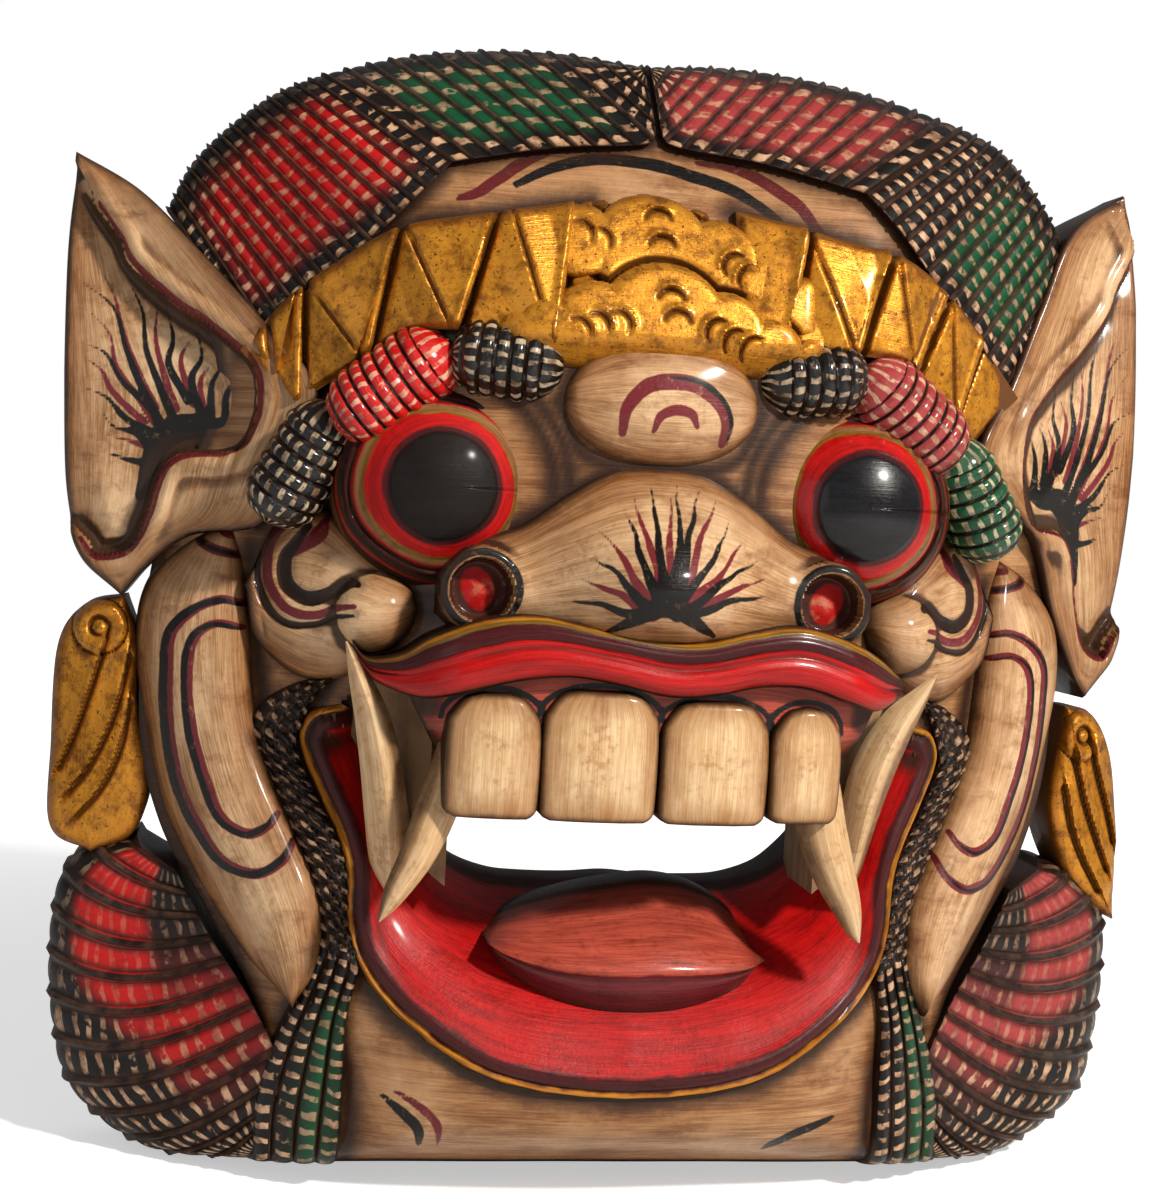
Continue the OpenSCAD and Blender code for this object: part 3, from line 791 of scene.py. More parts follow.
def makeFace():
    widths = smoothLine([(b, a) for a, b in face["width"]], 200)

    def bulge(x, z, s, t):
        z = face["bottom"] + t * (face["top"] - face["bottom"])
        return (2 * s - 1) * np.interp(z, widths[:, 1], widths[:, 0]), z

    def depthAt(at):
        x, z = at["x"], at["z"]
        chin = 6 * np.exp(-((z + 172) / 11) ** 2 - (x / 60) ** 2)
        return headForm(x, z) + face["proud"] + 0.5 * noise2(x, z, 42, 3) + chin

    wide = [(-119, face["bottom"]), (0, face["bottom"]), (119, face["bottom"])]
    high = [(-60, face["top"]), (0, face["top"]), (60, face["top"])]
    piece, at = carve("faceSkin", wide, high, face["along"], face["across"], depthAt, bulge)
    inkSkin(piece, at, faceStrokes["black"], faceStrokes["red"])
    outline = smoothLine(face["mouth"], 60)
    whole = [tuple(p) for p in outline] + [(-p[0], p[1]) for p in outline[::-1]]
    gone = inside(at["x"], at["z"], whole)
    near, _ = nearest(at["x"], at["z"], np.array(whole))
    for points in seamLines():
        far, _ = nearest(at["x"], at["z"], smoothLine(points, 120))
        near = np.minimum(near, far)
    # painted shade and brown wash along the seams, and in a broad ring around each eye
    washShadeRim = 0.45 * np.minimum(at["rim"], near)
    piece.data.attributes["rim"].data.foreach_set("value", washShadeRim.astype(np.float32))
    deselectAll()
    piece.select_set(True)
    bpy.context.view_layer.objects.active = piece
    bpy.ops.object.mode_set(mode="EDIT")
    bpy.ops.mesh.select_mode(type="VERT")
    bpy.ops.object.mode_set(mode="OBJECT")
    piece.data.polygons.foreach_set("select", np.zeros(len(piece.data.polygons), bool))
    piece.data.edges.foreach_set("select", np.zeros(len(piece.data.edges), bool))
    piece.data.vertices.foreach_set("select", gone)
    bpy.ops.object.mode_set(mode="EDIT")
    bpy.ops.mesh.delete(type="VERT")
    bpy.ops.object.mode_set(mode="OBJECT")
    closeBack(piece, shift=face["thick"])
    finishPiece(piece, paint["skin"])


hairNear = {"inner": [(1, 186), (1, 174), (1, 162), (3, 157), (12, 155), (36, 152), (70, 144)],
            "outer": [(1, 189), (30, 192.5), (58, 190.5), (85, 184.5), (112, 174)]}
hairFar = {"inner": [(70, 144), (92, 120), (112, 104), (133, 84)],
           "outer": [(112, 174), (134, 162), (153, 145), (162, 128)]}


def rows(f):
    # the height across one row of hair: a wide round band with half of a cord on each side
    gap = np.minimum(f, 1 - f)
    cord = 1.7 * np.sqrt(np.clip(1 - (gap / 0.115) ** 2, 0, 1))
    band = 1.0 * np.sqrt(np.clip(1 - ((f - 0.5) / 0.39) ** 2, 0, 1))
    return np.maximum(cord, band)


def makeHairLock(name, node, side, edges, count, color, patchAt, dashAt):
    inner = flipX(edges["inner"], side)
    outer = flipX(edges["outer"], side)

    def scallop(x, z, s, t):
        push = 1.3 * rows((s * count) % 1) * ramp(t, 0.86, 1)
        mid = np.hypot(x, z)
        return x + x / mid * push, z + z / mid * push

    def depthAt(at):
        depth = headForm(at["x"], at["z"]) + 4.5 + 1.15 * rows((at["s"] * count) % 1)
        edge = (1 - at["t"]) * 40
        return depth - 7 * (1 - np.sqrt(np.clip(1 - (1 - np.clip(edge / 9, 0, 1)) ** 2, 0, 1)))

    piece, at = carve(name, inner, outer, count * 12, 44, depthAt, scallop, reach=(4, 0))
    long = 0.5 * (np.hypot(*(np.array(outer[0]) - inner[0])) + np.hypot(*(np.array(outer[-1]) - inner[-1])))
    setMap(piece, at["s"] * count, at["t"] * long / 5)
    setNumbers(piece, patch=patchAt(at["s"], at["t"]), dash=dashAt(at["s"], at["t"]))
    closeBack(piece, 22)
    finishPiece(piece, paint[color], (node,), 60)


def makeHair():
    def middle(s, t):
        return ramp(t, 0.08, 0.25) * (1 - ramp(t, 0.7, 0.92))

    def redPatch(s, t):
        return middle(s, t) * ramp(s, 0.05, 0.2) * (1 - ramp(s, 0.8, 0.95))

    def greenPatch(s, t):
        return middle(s, t) * ramp(s, 0.3, 0.45) * (1 - ramp(s, 0.85, 0.95))

    def most(s, t):
        return np.clip(1.05 - 0.9 * ramp(t, 0.8, 0.95), 0, 1)

    makeHairLock("hairFarLeft", "hair_far_left", -1, hairFar, 14, "hairRed", redPatch, most)
    makeHairLock("hairNearLeft", "hair_left", -1, hairNear, 14, "hairGreen", greenPatch, most)
    makeHairLock("hairNearRight", "hair_right", 1, hairNear, 14, "hairPink", redPatch, most)
    makeHairLock("hairFarRight", "hair_far_right", 1, hairFar, 13, "hairGreen", greenPatch, most)


crownLow = [(24, 88), (34, 85), (65, 88), (84, 86), (101, 74), (118, 62)]
crownHigh = [(24, 134), (30, 133), (58, 127), (86, 121), (104, 111), (122, 97), (136, 80)]
leafCuts = {-1: {"cut": [(-124, -128), (-115, -116), (-94, -87), (-67, -56), (-36, -30)],
                 "fold": [(-116, -132), (-95, -114), (-68, -84), (-37, -50)]},
            1: {"cut": [(40, 48), (66, 77), (89, 102), (108, 120)], "fold": [(64, 48), (88, 80), (107, 104)]}}
crescents = [(-3, 132, 0, 1.2), (-2, 123, 0, 1.2), (0, 105, 0, 1.2), (2, 98, 0, 1.0), (19, 117, -50, 1.4),
             (24, 113, -50, 1.4), (-20, 123, 45, 0.8), (-26, 125, 45, 0.8), (12, 94, -55, 1.5),
             (18, 91, -55, 1.5),
             (24, 89, -55, 1.5), (-14, 95, 50, 0.8), (-21, 94, 50, 0.8), (-27, 92, 50, 0.8)]


def makeCrownSide(side):
    low = flipX(crownLow, side)
    high = flipX(crownHigh, side)
    lowLine = np.array(sorted(low))
    highLine = np.array(sorted(high))

    def across(x, z, line):
        # how far right of a fold that runs from the low edge to the high edge
        a, b = line
        az = np.interp(a, lowLine[:, 0], lowLine[:, 1])
        bz = np.interp(b, highLine[:, 0], highLine[:, 1])
        long = math.hypot(b - a, bz - az)
        return ((x - a) * (bz - az) - (z - az) * (b - a)) / long

    def depthAt(at):
        x, z = at["x"], at["z"]
        spec = leafCuts[side]
        lift = np.full(len(x), 4.0)
        for line in spec["cut"]:
            d = across(x, z, line)
            lift = np.where((d < 0) & (d > -28), 7.5 + d * 0.12, lift)
            lift = np.where((d >= 0) & (d < 12), np.minimum(lift, 1.5 + d * 0.3), lift)
        for line in spec["fold"]:
            d = across(x, z, line)
            lift += 2.6 * np.clip(1 - np.abs(d) / 10, 0, 1) - 1.6 * bump(d + 1.2, 0.8)
        for line in spec["cut"]:
            d = across(x, z, line)
            lift += 1.0 * bump(d + 2.2, 1.2) - 5.0 * bump(d - 0.8, 1.0)
        return headForm(x, z) + 3.5 + lift - 3 * (1 - ramp(at["rim"], 0, 2.5))

    name = pieceAt("crown", side)
    piece, at = carve(name, low, high, 200, 64, depthAt)
    closeBack(piece, 64)
    finishPiece(piece, paint["gold"], (nodeAt("crown", side),), 35)


clouds = {"upper": [(-5, 118, 20), (-29, 120, 13), (-43, 113, 11), (18, 117, 13.5), (33, 108, 11),
                    (46, 104, 9)],
          "lower": [(-2, 92, 22), (-24, 92, 14.5), (-38, 89, 11), (-50, 86, 8.5), (18, 91, 14.5),
                    (34, 87, 10.5),
                    (48, 84, 8)]}


def makeCrownCrest():
    def depthAt(at):
        x, z = at["x"], at["z"]
        base = headForm(x, z)
        lift = np.full(len(x), 1.0)
        for tier, level in (("upper", 6.5), ("lower", 10.5)):
            gap = np.full(len(x), 99.0)
            for cx, cz, r in clouds[tier]:
                gap = np.minimum(gap, np.hypot(x - cx, z - cz) - r)
            gap = np.where(z < (104 if tier == "upper" else 88), np.minimum(gap, -5), gap)
            plate = level - 4 + 4 * np.sqrt(np.clip(1 - (1 - np.clip(-gap / 4, 0, 1)) ** 2, 0, 1))
            lift = np.where(gap < 0, plate, lift - 3 * bump(gap, 1.6))
        for cx, cz, tilt, deep in crescents:
            turn = math.radians(-tilt)
            dx = (x - cx) * math.cos(turn) + (z - cz) * math.sin(turn)
            dz = -(x - cx) * math.sin(turn) + (z - cz) * math.cos(turn)
            arc = np.hypot(dx, dz + 5) - 5.5
            reach = np.clip(1 - (np.abs(dx) / 5) ** 2, 0, 1) ** 0.6 * (dz > -4)
            lift += deep * reach * (0.9 * bump(arc - 0.9, 0.8) - 1.9 * bump(arc + 0.8, 0.8))
        tuck = 12 * (1 - ramp(z, 76, 90)) + 6 * ramp(np.abs(x), 46, 60)
        return base + 3 + lift - tuck - 2.5 * (1 - ramp(at["rim"], 0, 2))

    low = [(-60, 84), (-50, 80), (-24, 77), (0, 77), (24, 77), (50, 80), (60, 84)]
    high = [(-60, 112), (-54, 119), (-48, 124), (-40, 130), (-28, 133), (-5, 138), (12, 134), (24, 129),
            (36, 121),
            (50, 113), (60, 106)]
    piece, at = carve("crownCrest", low, high, 190, 100, depthAt)
    closeBack(piece, 64)
    finishPiece(piece, paint["gold"], ("crown_crest",), 40)


def makeBoss():
    def round(turn):
        return (33 * math.cos(turn), 68 + 21.5 * math.sin(turn))

    low = [round(math.pi * (1 + k / 16)) for k in range(17)]
    high = [round(math.pi * (1 - k / 16)) for k in range(17)]

    def depthAt(at):
        x, z = at["x"], at["z"]
        dome = 107 + 9 * (1 - (x / 36) ** 2) * (1 - ((z - 68) / 24) ** 2)
        return dome - 10 + pillow(at["rim"], 10, 5)

    piece, at = carve("foreheadBoss", low, high, 84, 52, depthAt)
    outer = [(-14, 58), (-13, 66), (-7, 73), (1, 75), (10, 74), (17, 69), (20, 63), (19, 56)]
    inner = [(-4, 59), (-2, 64), (3, 66), (8, 65), (10, 61)]
    grey = [(x * 1.1 - 0.4, 57 + (z - 57) * 1.08) for x, z in outer[3:]]
    inkSkin(piece, at, [brush(grey, 2.0)], [brush(outer, 5.4), brush(inner, 3.6)])
    closeBack(piece, 92)
    finishPiece(piece, paint["skin"], ("forehead_boss",))


browCurls = {"outer": {"ends": ((119, 34), (109, 52)), "depth": 84, "r": 12.5, "rows": 7},
             "middle": {"ends": ((94, 63), (78, 76)), "depth": 94, "r": 13.5, "rows": 8},
             "inner": {"ends": ((57, 80), (44, 79)), "depth": 101, "r": 12.5, "rows": 6}}
browPaint = {"outerLeft": "browBlack", "middleLeft": "browRed", "innerLeft": "browBlack",
             "innerRight": "browBlack", "middleRight": "browPink", "outerRight": "browGreen"}


def makeBrowCurl(which, side):
    spec = browCurls[which]
    (ax, az), (bx, bz) = spec["ends"]
    long = math.hypot(bx - ax, bz - az)
    ux, uz = (bx - ax) / long, (bz - az) / long
    total = long + 2 * spec["r"]
    path = []
    for k in range(25):
        d = total * k / 24
        past = max(0, spec["r"] - d, d - (total - spec["r"]))
        r = spec["r"] * math.sqrt(max(0, 1 - (past / spec["r"]) ** 2)) + 0.001
        d -= spec["r"]
        path.append((side * (ax + ux * d), az + uz * d, spec["depth"], r, r))
    count = spec["rows"]

    def slanted(s, turn):
        # the ridges lean over the bead, and its upper end is a plain knob
        return np.clip((s + 0.07 * np.sin(turn) - 0.02) / 0.8, 0, 1.2) * count

    def section(s, turn):
        at = slanted(s, turn)
        ridge = 1.9 * np.abs(np.sin(at * math.pi)) ** 0.55 / spec["r"]
        return 0.9 + np.where(at < count, ridge, 0.1)

    piece, at = sweep(pieceAt("browCurl" + which.capitalize(), side), path, count * 14, 56, section)
    across = slanted(at["s"], at["turn"])
    setMap(piece, np.where(across < count, across, count + 0.5), at["t"] * 6.283 * spec["r"] / 4.6)
    full = np.ones(len(at["x"]))
    # the grooves between the ridges get brown wash and painted shade
    setNumbers(piece, rim=full * 9, hollow=np.clip(1.0 - at["scale"], 0, 1) * 7, patch=full, dash=full)
    finish = paint[browPaint[pieceAt(which, side)]]
    finishPiece(piece, finish, (nodeAt("brow_curl_" + which, side),), 60)


eye = {"x": 70, "z": 38, "depth": 78, "r": 36, "rings": 60, "around": 96}


def makeEye(side):
    name = pieceAt("eye", side)
    piece, s, t = newGrid(name, eye["rings"], eye["around"])
    r = s * 35.4
    turn = t * 2 * math.pi
    x = side * eye["x"] + r * np.cos(turn)
    z = eye["z"] + r * np.sin(turn)
    loose = ramp(r, 17, 26)
    paintR = r + loose * (1.1 * np.sin(turn + 2.2) + 0.7 * np.sin(2 * turn + side) + 0.4 * np.sin(5 * turn))
    paintR = np.where(r > 34, r, paintR)
    depth = eye["depth"] + np.sqrt(np.maximum(eye["r"] ** 2 - r ** 2, 0))
    depth += 0.7 * (1 - ramp(r, 16.8, 17.6))
    for ring, dip in ((24.5, 0.5), (28, 1.1), (31, 0.9), (33.4, 0.9)):
        depth -= dip * bump(paintR - ring, 0.7)
    depth += 1.6 * ramp(paintR, 27.5, 29) * (1 - ramp(r, 33, 35.4))
    placePoints(piece, x, depth, z)
    flat = r < 17.3
    setMap(piece, np.where(flat, x * mm, np.abs(turn - math.pi) * 0.02), np.where(flat, z * mm, r * mm))
    # the ring grooves get brown wash and painted shade
    dip = 0.9 * (bump(paintR - 28, 0.9) + bump(paintR - 31, 0.8) + bump(paintR - 33.4, 0.8))
    setNumbers(piece, rim=35.4 - r, hollow=dip, band=paintR / 36, inkBlack=np.full(len(r), 8.0))
    closeBack(piece, 64)
    finishPiece(piece, paint[name], (nodeAt("eye", side),))


def ball(x, z, a, b):
    # the front of a round bar between two balls given as (x, z, depth, radius)
    run = np.array(b) - np.array(a)
    flat = max(run[0] ** 2 + run[1] ** 2, 1e-6)
    k = np.clip(((x - a[0]) * run[0] + (z - a[1]) * run[1]) / flat, 0, 1)
    r = a[3] + k * run[3]
    off = np.hypot(x - a[0] - k * run[0], z - a[1] - k * run[1])
    return a[2] + k * run[2] + np.sqrt(np.maximum(r * r - off * off, 0)) - 1.4 * np.maximum(off - r, 0)


def softMax(values, soft):
    values = np.array(values)
    return soft * np.log(np.exp(values / soft).sum(0))


noseFlames = [(-30, 4, 0), (-27, 12, 1), (-24, 19, 0), (-22, 27, 1), (-14, 33, 0), (-10, 39, 1), (-5, 43, 0),
              (1, 38, 1), (5, 43, 0), (11, 41, 0), (16, 38, 1), (21, 31, 0), (25, 24, 1), (30, 20, 0),
              (33, 14, 1),
              (34, 9, 0)]


def flame(root, tip, wide, sway, seed):
    # a wavy tapering tongue from a root to a tip
    rng = random.Random(seed)
    rx, rz = root
    dx, dz = tip[0] - rx, tip[1] - rz
    long = math.hypot(dx, dz)
    phase = rng.uniform(0, 6.28)
    points = []
    for k in range(9):
        u = k / 8
        off = sway * math.sin(phase + u * rng.uniform(6.5, 8.5)) * (0.3 + 0.7 * u) * (1 - 0.5 * u)
        points.append((rx + dx * u - dz / long * off, rz + dz * u + dx / long * off,
                       wide * (1 - u) ** 0.8 + 0.35))
    return points


def makeNose():
    low = [(-70, -3), (-62, -8), (-40, -8), (0, -9), (40, -8), (62, -8), (70, -3)]
    high = [(-70, 10), (-61, 20), (-44, 27), (-29, 38), (-15, 46), (0, 48), (15, 46), (29, 38), (44, 27),
            (61, 20),
            (70, 10)]

    def depthAt(at):
        x, z = at["x"], at["z"]
        spread = 20 * np.exp(-(np.abs(x) / 50) ** 3 - (np.abs(z - 8) / 42) ** 3)
        tip = 20 * np.exp(-(x / 30) ** 2 - ((z - 10) / 22) ** 2)
        wings = 12 * np.exp(-((np.abs(x) - 55) / 14) ** 2 - ((z - 7) / 14) ** 2)
        depth = 101 + spread + tip + wings - 7 + pillow(at["rim"], 7, 7)
        for side in (-1, 1):
            r = np.hypot(x - side * 57, z - 6)
            lip = 114 + 4.5 * np.sqrt(np.clip(1 - ((r - 11.3) / 3.2) ** 2, 0, 1))
            depth = np.where(r < 14, np.maximum(depth, lip), depth)
            dish = 113 - 4 * ramp(r, 10.2, 8.5) + 1.5 * ramp(r, 8, 0)
            depth = np.where(r < 10.2, dish, depth)
        return np.maximum(depth, 93)

    piece, at = carve("nose", low, high, 190, 90, depthAt)
    black, red = [], []
    for k, (tx, tz, dark) in enumerate(noseFlames):
        root = (-2 + tx * 0.12, 1 + tz * 0.04)
        (red if dark else black).append(flame(root, (tx, tz), 3.6, 1.5, 20 + k))
    black.append([(-18, -5, 1.5), (-8, 1, 5), (-1, 6, 7), (6, 1, 5), (16, -5, 1.5)])
    blush = np.zeros(len(at["x"]))
    for side in (-1, 1):
        r = np.hypot(at["x"] - side * 57, at["z"] - 6)
        blush = np.maximum(blush, 1 - ramp(r, 8.6, 10))
        black.append([(side * 57 + 12 * math.cos(a / 4), 6 + 12 * math.sin(a / 4), 2.4) for a in range(26)])
    inkSkin(piece, at, black, red, blush)
    closeBack(piece, 92)
    finishPiece(piece, paint["skin"], ("nose",))


cheekStrokes = {"black": [brush([(111, 23), (115, 17), (118, 12), (118, 5), (115, 1), (110, -1), (104, 1),
                                 (98, 5), (95, 5)], 5),
                          brush([(117, 25), (122, 22), (126, 16), (127, 8), (126, 1), (121, -7), (115, -10),
                                 (107, -9), (101, -6), (96, -5)], 2.4)],
                "red": [brush([(115, 24), (120, 21), (123, 16), (124, 9), (123, 3), (119, -3), (114, -6),
                               (107, -6), (101, -3), (96, -2)], 3.4),
                        [(116, 13, 2), (108, 20, 5), (105, 26, 2)]]}


def makeCheek(side):
    low = flipX([(74, -2), (78, -11), (88, -21), (100, -28), (114, -27), (127, -15), (131, 2)], side)
    high = flipX([(74, -2), (78, 7), (88, 13), (97, 21), (107, 30), (120, 26), (131, 2)], side)

    def depthAt(at):
        x, z = side * at["x"], at["z"]
        knob = ball(x, z, (87, -4, 90, 13.5), (88, -4, 90, 13.5))
        around = ((x - 108) / 25) ** 2 + ((z - 0) / 30) ** 2
        scroll = headForm(x, z) + 2 + 13 * np.sqrt(np.clip(1 - around, 0, 1))
        depth = softMax([np.maximum(knob, 70), np.maximum(scroll, 70)], 1.0)
        gap = strokeGap(x, z, cheekStrokes["black"])
        edge = 6 - pillow(at["rim"], 6, 6)
        return depth - 1.8 * ramp(gap, 1.5, -1) - edge

    name = pieceAt("cheek", side)
    piece, at = carve(name, low, high, 90, 80, depthAt)
    inkSkin(piece, at, [flipX(p, side) for p in cheekStrokes["black"]],
            [flipX(p, side) for p in cheekStrokes["red"]])
    closeBack(piece, 58)
    finishPiece(piece, paint["skin"], (nodeAt("cheek", side),))


def noInk(piece, at):
    setNumbers(piece, inkBlack=np.full(len(at["x"]), 8.0))


def makeUpperLip():
    low = [(-93, -21), (-87, -26), (-74, -29), (-60, -26), (-45, -22), (-29, -20), (-12, -22), (3, -25),
           (18, -24),
           (33, -21), (48, -21), (62, -25), (74, -28), (83, -25)]
    high = [(-96, -13), (-91, -18), (-81, -16), (-71, -9), (-56, -3), (-40, -1), (-21, -4), (0, -7), (14, -7),
            (31, -3), (46, -1), (62, -5), (75, -11), (86, -18)]

    def depthAt(at):
        x, t = at["x"], at["t"]
        depth = 108 + 19 * np.sqrt(np.clip(1 - (x / 112) ** 2, 0, 1)) - 20 * ramp(np.abs(x), 62, 98)
        roll = 5 * np.sin(np.clip(t / 0.62, 0, 1) * math.pi) ** 0.6
        shelf = 3.2 * ramp(t, 0.5, 0.62) - 4 * ramp(t, 0.75, 1)
        return depth + roll + shelf + 1.6 * bump(t - 0.92, 0.06)

    piece, at = carve("upperLip", low, high, 150, 44, depthAt)
    setNumbers(piece, band=at["t"])
    noInk(piece, at)
    closeBack(piece, 90)
    finishPiece(piece, paint["lip"], ("upper_lip",))


def makeGum():
    low = [(-66, -50), (-35, -50), (0, -50), (35, -50), (66, -50)]
    high = [(-80, -24), (-60, -22), (-35, -17), (0, -19), (35, -17), (60, -22), (78, -24)]

    def depthAt(at):
        x, z = at["x"], at["z"]
        depth = 106 + 16 * np.sqrt(np.clip(1 - (x / 100) ** 2, 0, 1)) - 8 * ramp(np.abs(x), 56, 74)
        return depth - 12 * ramp(z, -36, -50)

    piece, at = carve("gum", low, high, 130, 44, depthAt)
    arches = []
    for cx, half, top in teethAt:
        arches.append([(cx + (half + 1) * math.cos(a), top - 9 + 10.5 * math.sin(a), 2.0)
                       for a in (0, 0.35, 0.75, 1.2, 1.57, 1.94, 2.39, 2.79, 3.14)])
    setNumbers(piece, band=at["t"], inkBlack=strokeGap(at["x"], at["z"], arches))
    closeBack(piece, 60)
    finishPiece(piece, paint["gum"], ("upper_jaw",))


teethAt = [(-51.3, 15.2, -26), (-17.5, 18.9, -24), (19.7, 18.1, -26), (50, 12.4, -27)]
teethNames = ["toothFarLeft", "toothLeft", "toothRight", "toothFarRight"]
teethNodes = ["tooth_far_left", "tooth_left", "tooth_right", "tooth_far_right"]


def makeTooth(k):
    cx, half, top = teethAt[k]
    bottom = -66 if half > 15 else -65
    left = [(cx - half + 4, bottom), (cx - half + 1.2, bottom + 1.6), (cx - half, bottom + 6),
            (cx - half, top - 12),
            (cx - half + 2, top - 6), (cx - half + 6, top - 1.5), (cx - half + 11, top)]
    right = [(2 * cx - px, pz) for px, pz in left]

    def depthAt(at):
        x, z = at["x"], at["z"]
        depth = 109 + 19 * np.sqrt(np.clip(1 - (x / 100) ** 2, 0, 1))
        depth -= 3.2 * np.abs((x - cx) / half) ** 2.6
        depth += 1.6 * np.sin(np.clip((z - bottom) / (top - bottom), 0, 1) * math.pi)
        return depth - 4 + pillow(at["rim"], 4, 2.6)

    piece, at = carve(teethNames[k], left, right, 60, 44, depthAt)
    closeBack(piece, 90)
    finishPiece(piece, paint["tooth"], (teethNodes[k],))


def makeHorn(name, node, path, side, sharp):
    def section(s, turn):
        # a blade with a ridge down its front
        return (np.abs(np.cos(turn)) ** sharp + np.abs(np.sin(turn)) ** sharp) ** (-1 / sharp)

    slim = [(x, z, depth, 0.84 * wide, 0.9 * deep) for x, z, depth, wide, deep in flipX(path, side)]
    piece, at = sweep(name, slim, 48, 40, section)
    full = np.ones(len(at["x"]))
    # painted shade: one side of each fang and tusk darker
    shade = 0.2 + 0.8 * ramp(-np.cos(at["turn"]) - 0.2 * np.sin(at["turn"]), 0.1, 0.8)
    setNumbers(piece, rim=full * 12, hollow=shade * 0.5)
    finishPiece(piece, paint["tooth"], (node,), 40)


fangPath = {-1: [(62, -44, 104, 6, 7), (64, -56, 106, 8, 7.5), (68, -68, 109, 8, 7.5),
                 (73, -80, 112, 6.8, 6.5),
                 (79, -91, 113, 4.8, 5), (82, -97, 113, 2.6, 3), (84, -101, 113, 0.4, 0.5)],
            1: [(58, -44, 104, 7, 7), (59, -56, 106, 9.5, 8), (60, -68, 110, 10, 8), (64, -81, 112, 8.8, 7.5),
                (69, -93, 113, 6, 6), (72, -101, 113, 3.2, 3.5), (74, -105, 113, 0.5, 0.5)]}
tuskPath = {-1: [(79, -96, 84, 3, 4), (80, -86, 87, 7.5, 7), (82, -70, 93, 8.5, 8), (85, -52, 98, 8, 7.5),
                 (89, -36, 101, 6.5, 6), (94, -23, 103, 3.6, 3.8), (98, -13, 103, 0.4, 0.5)],
            1: [(76, -96, 84, 3, 4), (76, -84, 89, 6, 6), (77, -66, 95, 8, 7.5), (80, -49, 99, 9, 8),
                (86, -34, 102, 7.5, 6.5), (93, -24, 103, 4, 4), (99, -16, 103, 0.4, 0.5)]}


def makeLowerJaw():
    outer = [(-98, -35), (-108, -38), (-112, -48), (-106, -63), (-99, -77), (-95, -90), (-94, -107),
             (-89, -122),
             (-74, -138), (-44, -155), (0, -161), (44, -155), (74, -138), (89, -122), (94, -107), (95, -90),
             (99, -77), (106, -63), (112, -48), (108, -38), (98, -35)]
    inner = [(-92, -38), (-88, -44), (-84, -52), (-77, -66), (-70, -77), (-62, -86), (-54, -92), (-42, -96),
             (-30, -97), (-14, -97), (0, -96), (14, -97), (30, -97), (42, -96), (54, -92), (62, -86),
             (70, -77),
             (77, -66), (84, -52), (88, -44), (92, -38)]
    edge = smoothLine(outer, 240)

    def depthAt(at):
        x, z, t = at["x"], at["z"], at["t"]
        far, _ = nearest(x, z, edge)
        rimDepth = np.minimum(headForm(x, z), 106) + 4.5
        floor = 50 + 10 * ramp(np.abs(x), 40, 90)
        slope = np.clip((t - 0.14) / 0.86, 0, 1)
        depth = rimDepth + (floor - rimDepth) * (0.4 * slope + 0.6 * slope ** 2)
        depth += 1.6 * bump(far - 7, 3) + 1.0 * bump(far - 2.2, 0.9) - 0.9 * bump(far - 3.7, 0.8)
        return depth - 4 * (1 - ramp(far, 0, 2.5))

    piece, at = carve("lowerJaw", outer, inner, 210, 64, depthAt)
    far, _ = nearest(at["x"], at["z"], edge)
    # painted shade: darker towards the inner edge, down into the mouth
    setNumbers(piece, band=far / 60, hollow=0.55 * ramp(at["t"], 0.5, 1.0))
    noInk(piece, at)
    closeBack(piece, 36)
    finishPiece(piece, paint["jaw"], ("lower_jaw",))


def makeTongue():
    low = [(-47, -111), (-42, -119), (-30, -127), (-12, -132), (8, -133), (26, -131), (40, -125), (47, -115)]
    high = [(-47, -111), (-38, -104), (-22, -98), (-5, -94), (12, -92), (27, -95), (40, -103), (47, -115)]

    def depthAt(at):
        x, t = at["x"], at["t"]
        crest = 106 - 10 * (x / 50) ** 2
        front = crest - 8 * (1 - np.clip(t / 0.36, 0, 1)) ** 1.2
        top = crest - 32 * np.clip((t - 0.36) / 0.64, 0, 1) ** 1.4
        return np.where(t < 0.36, front, top) - 1.2 * bump(t - 0.3, 0.05)

    piece, at = carve("tongue", low, high, 84, 56, depthAt)
    setNumbers(piece, band=at["t"])
    noInk(piece, at)
    closeBack(piece, 60)
    finishPiece(piece, paint["tongue"], ("tongue",))


jowlStrokes = {"outer": [(132, -5), (140, -4), (149, -8), (156, -16), (157, -29), (156, -47), (152, -66),
                         (145, -80), (136, -91), (125, -94), (116, -89), (112, -82)],
               "inner": [(132, -13), (141, -12), (148, -17), (150, -28), (148, -47), (143, -63), (137, -76),
                         (128, -81), (121, -78), (118, -74)],
               "topOuter": [(129, 11), (137, 12), (144, 14), (147, 17), (143, 21)],
               "topInner": [(128, 18), (135, 18), (139, 19), (137, 22), (129, 23)]}


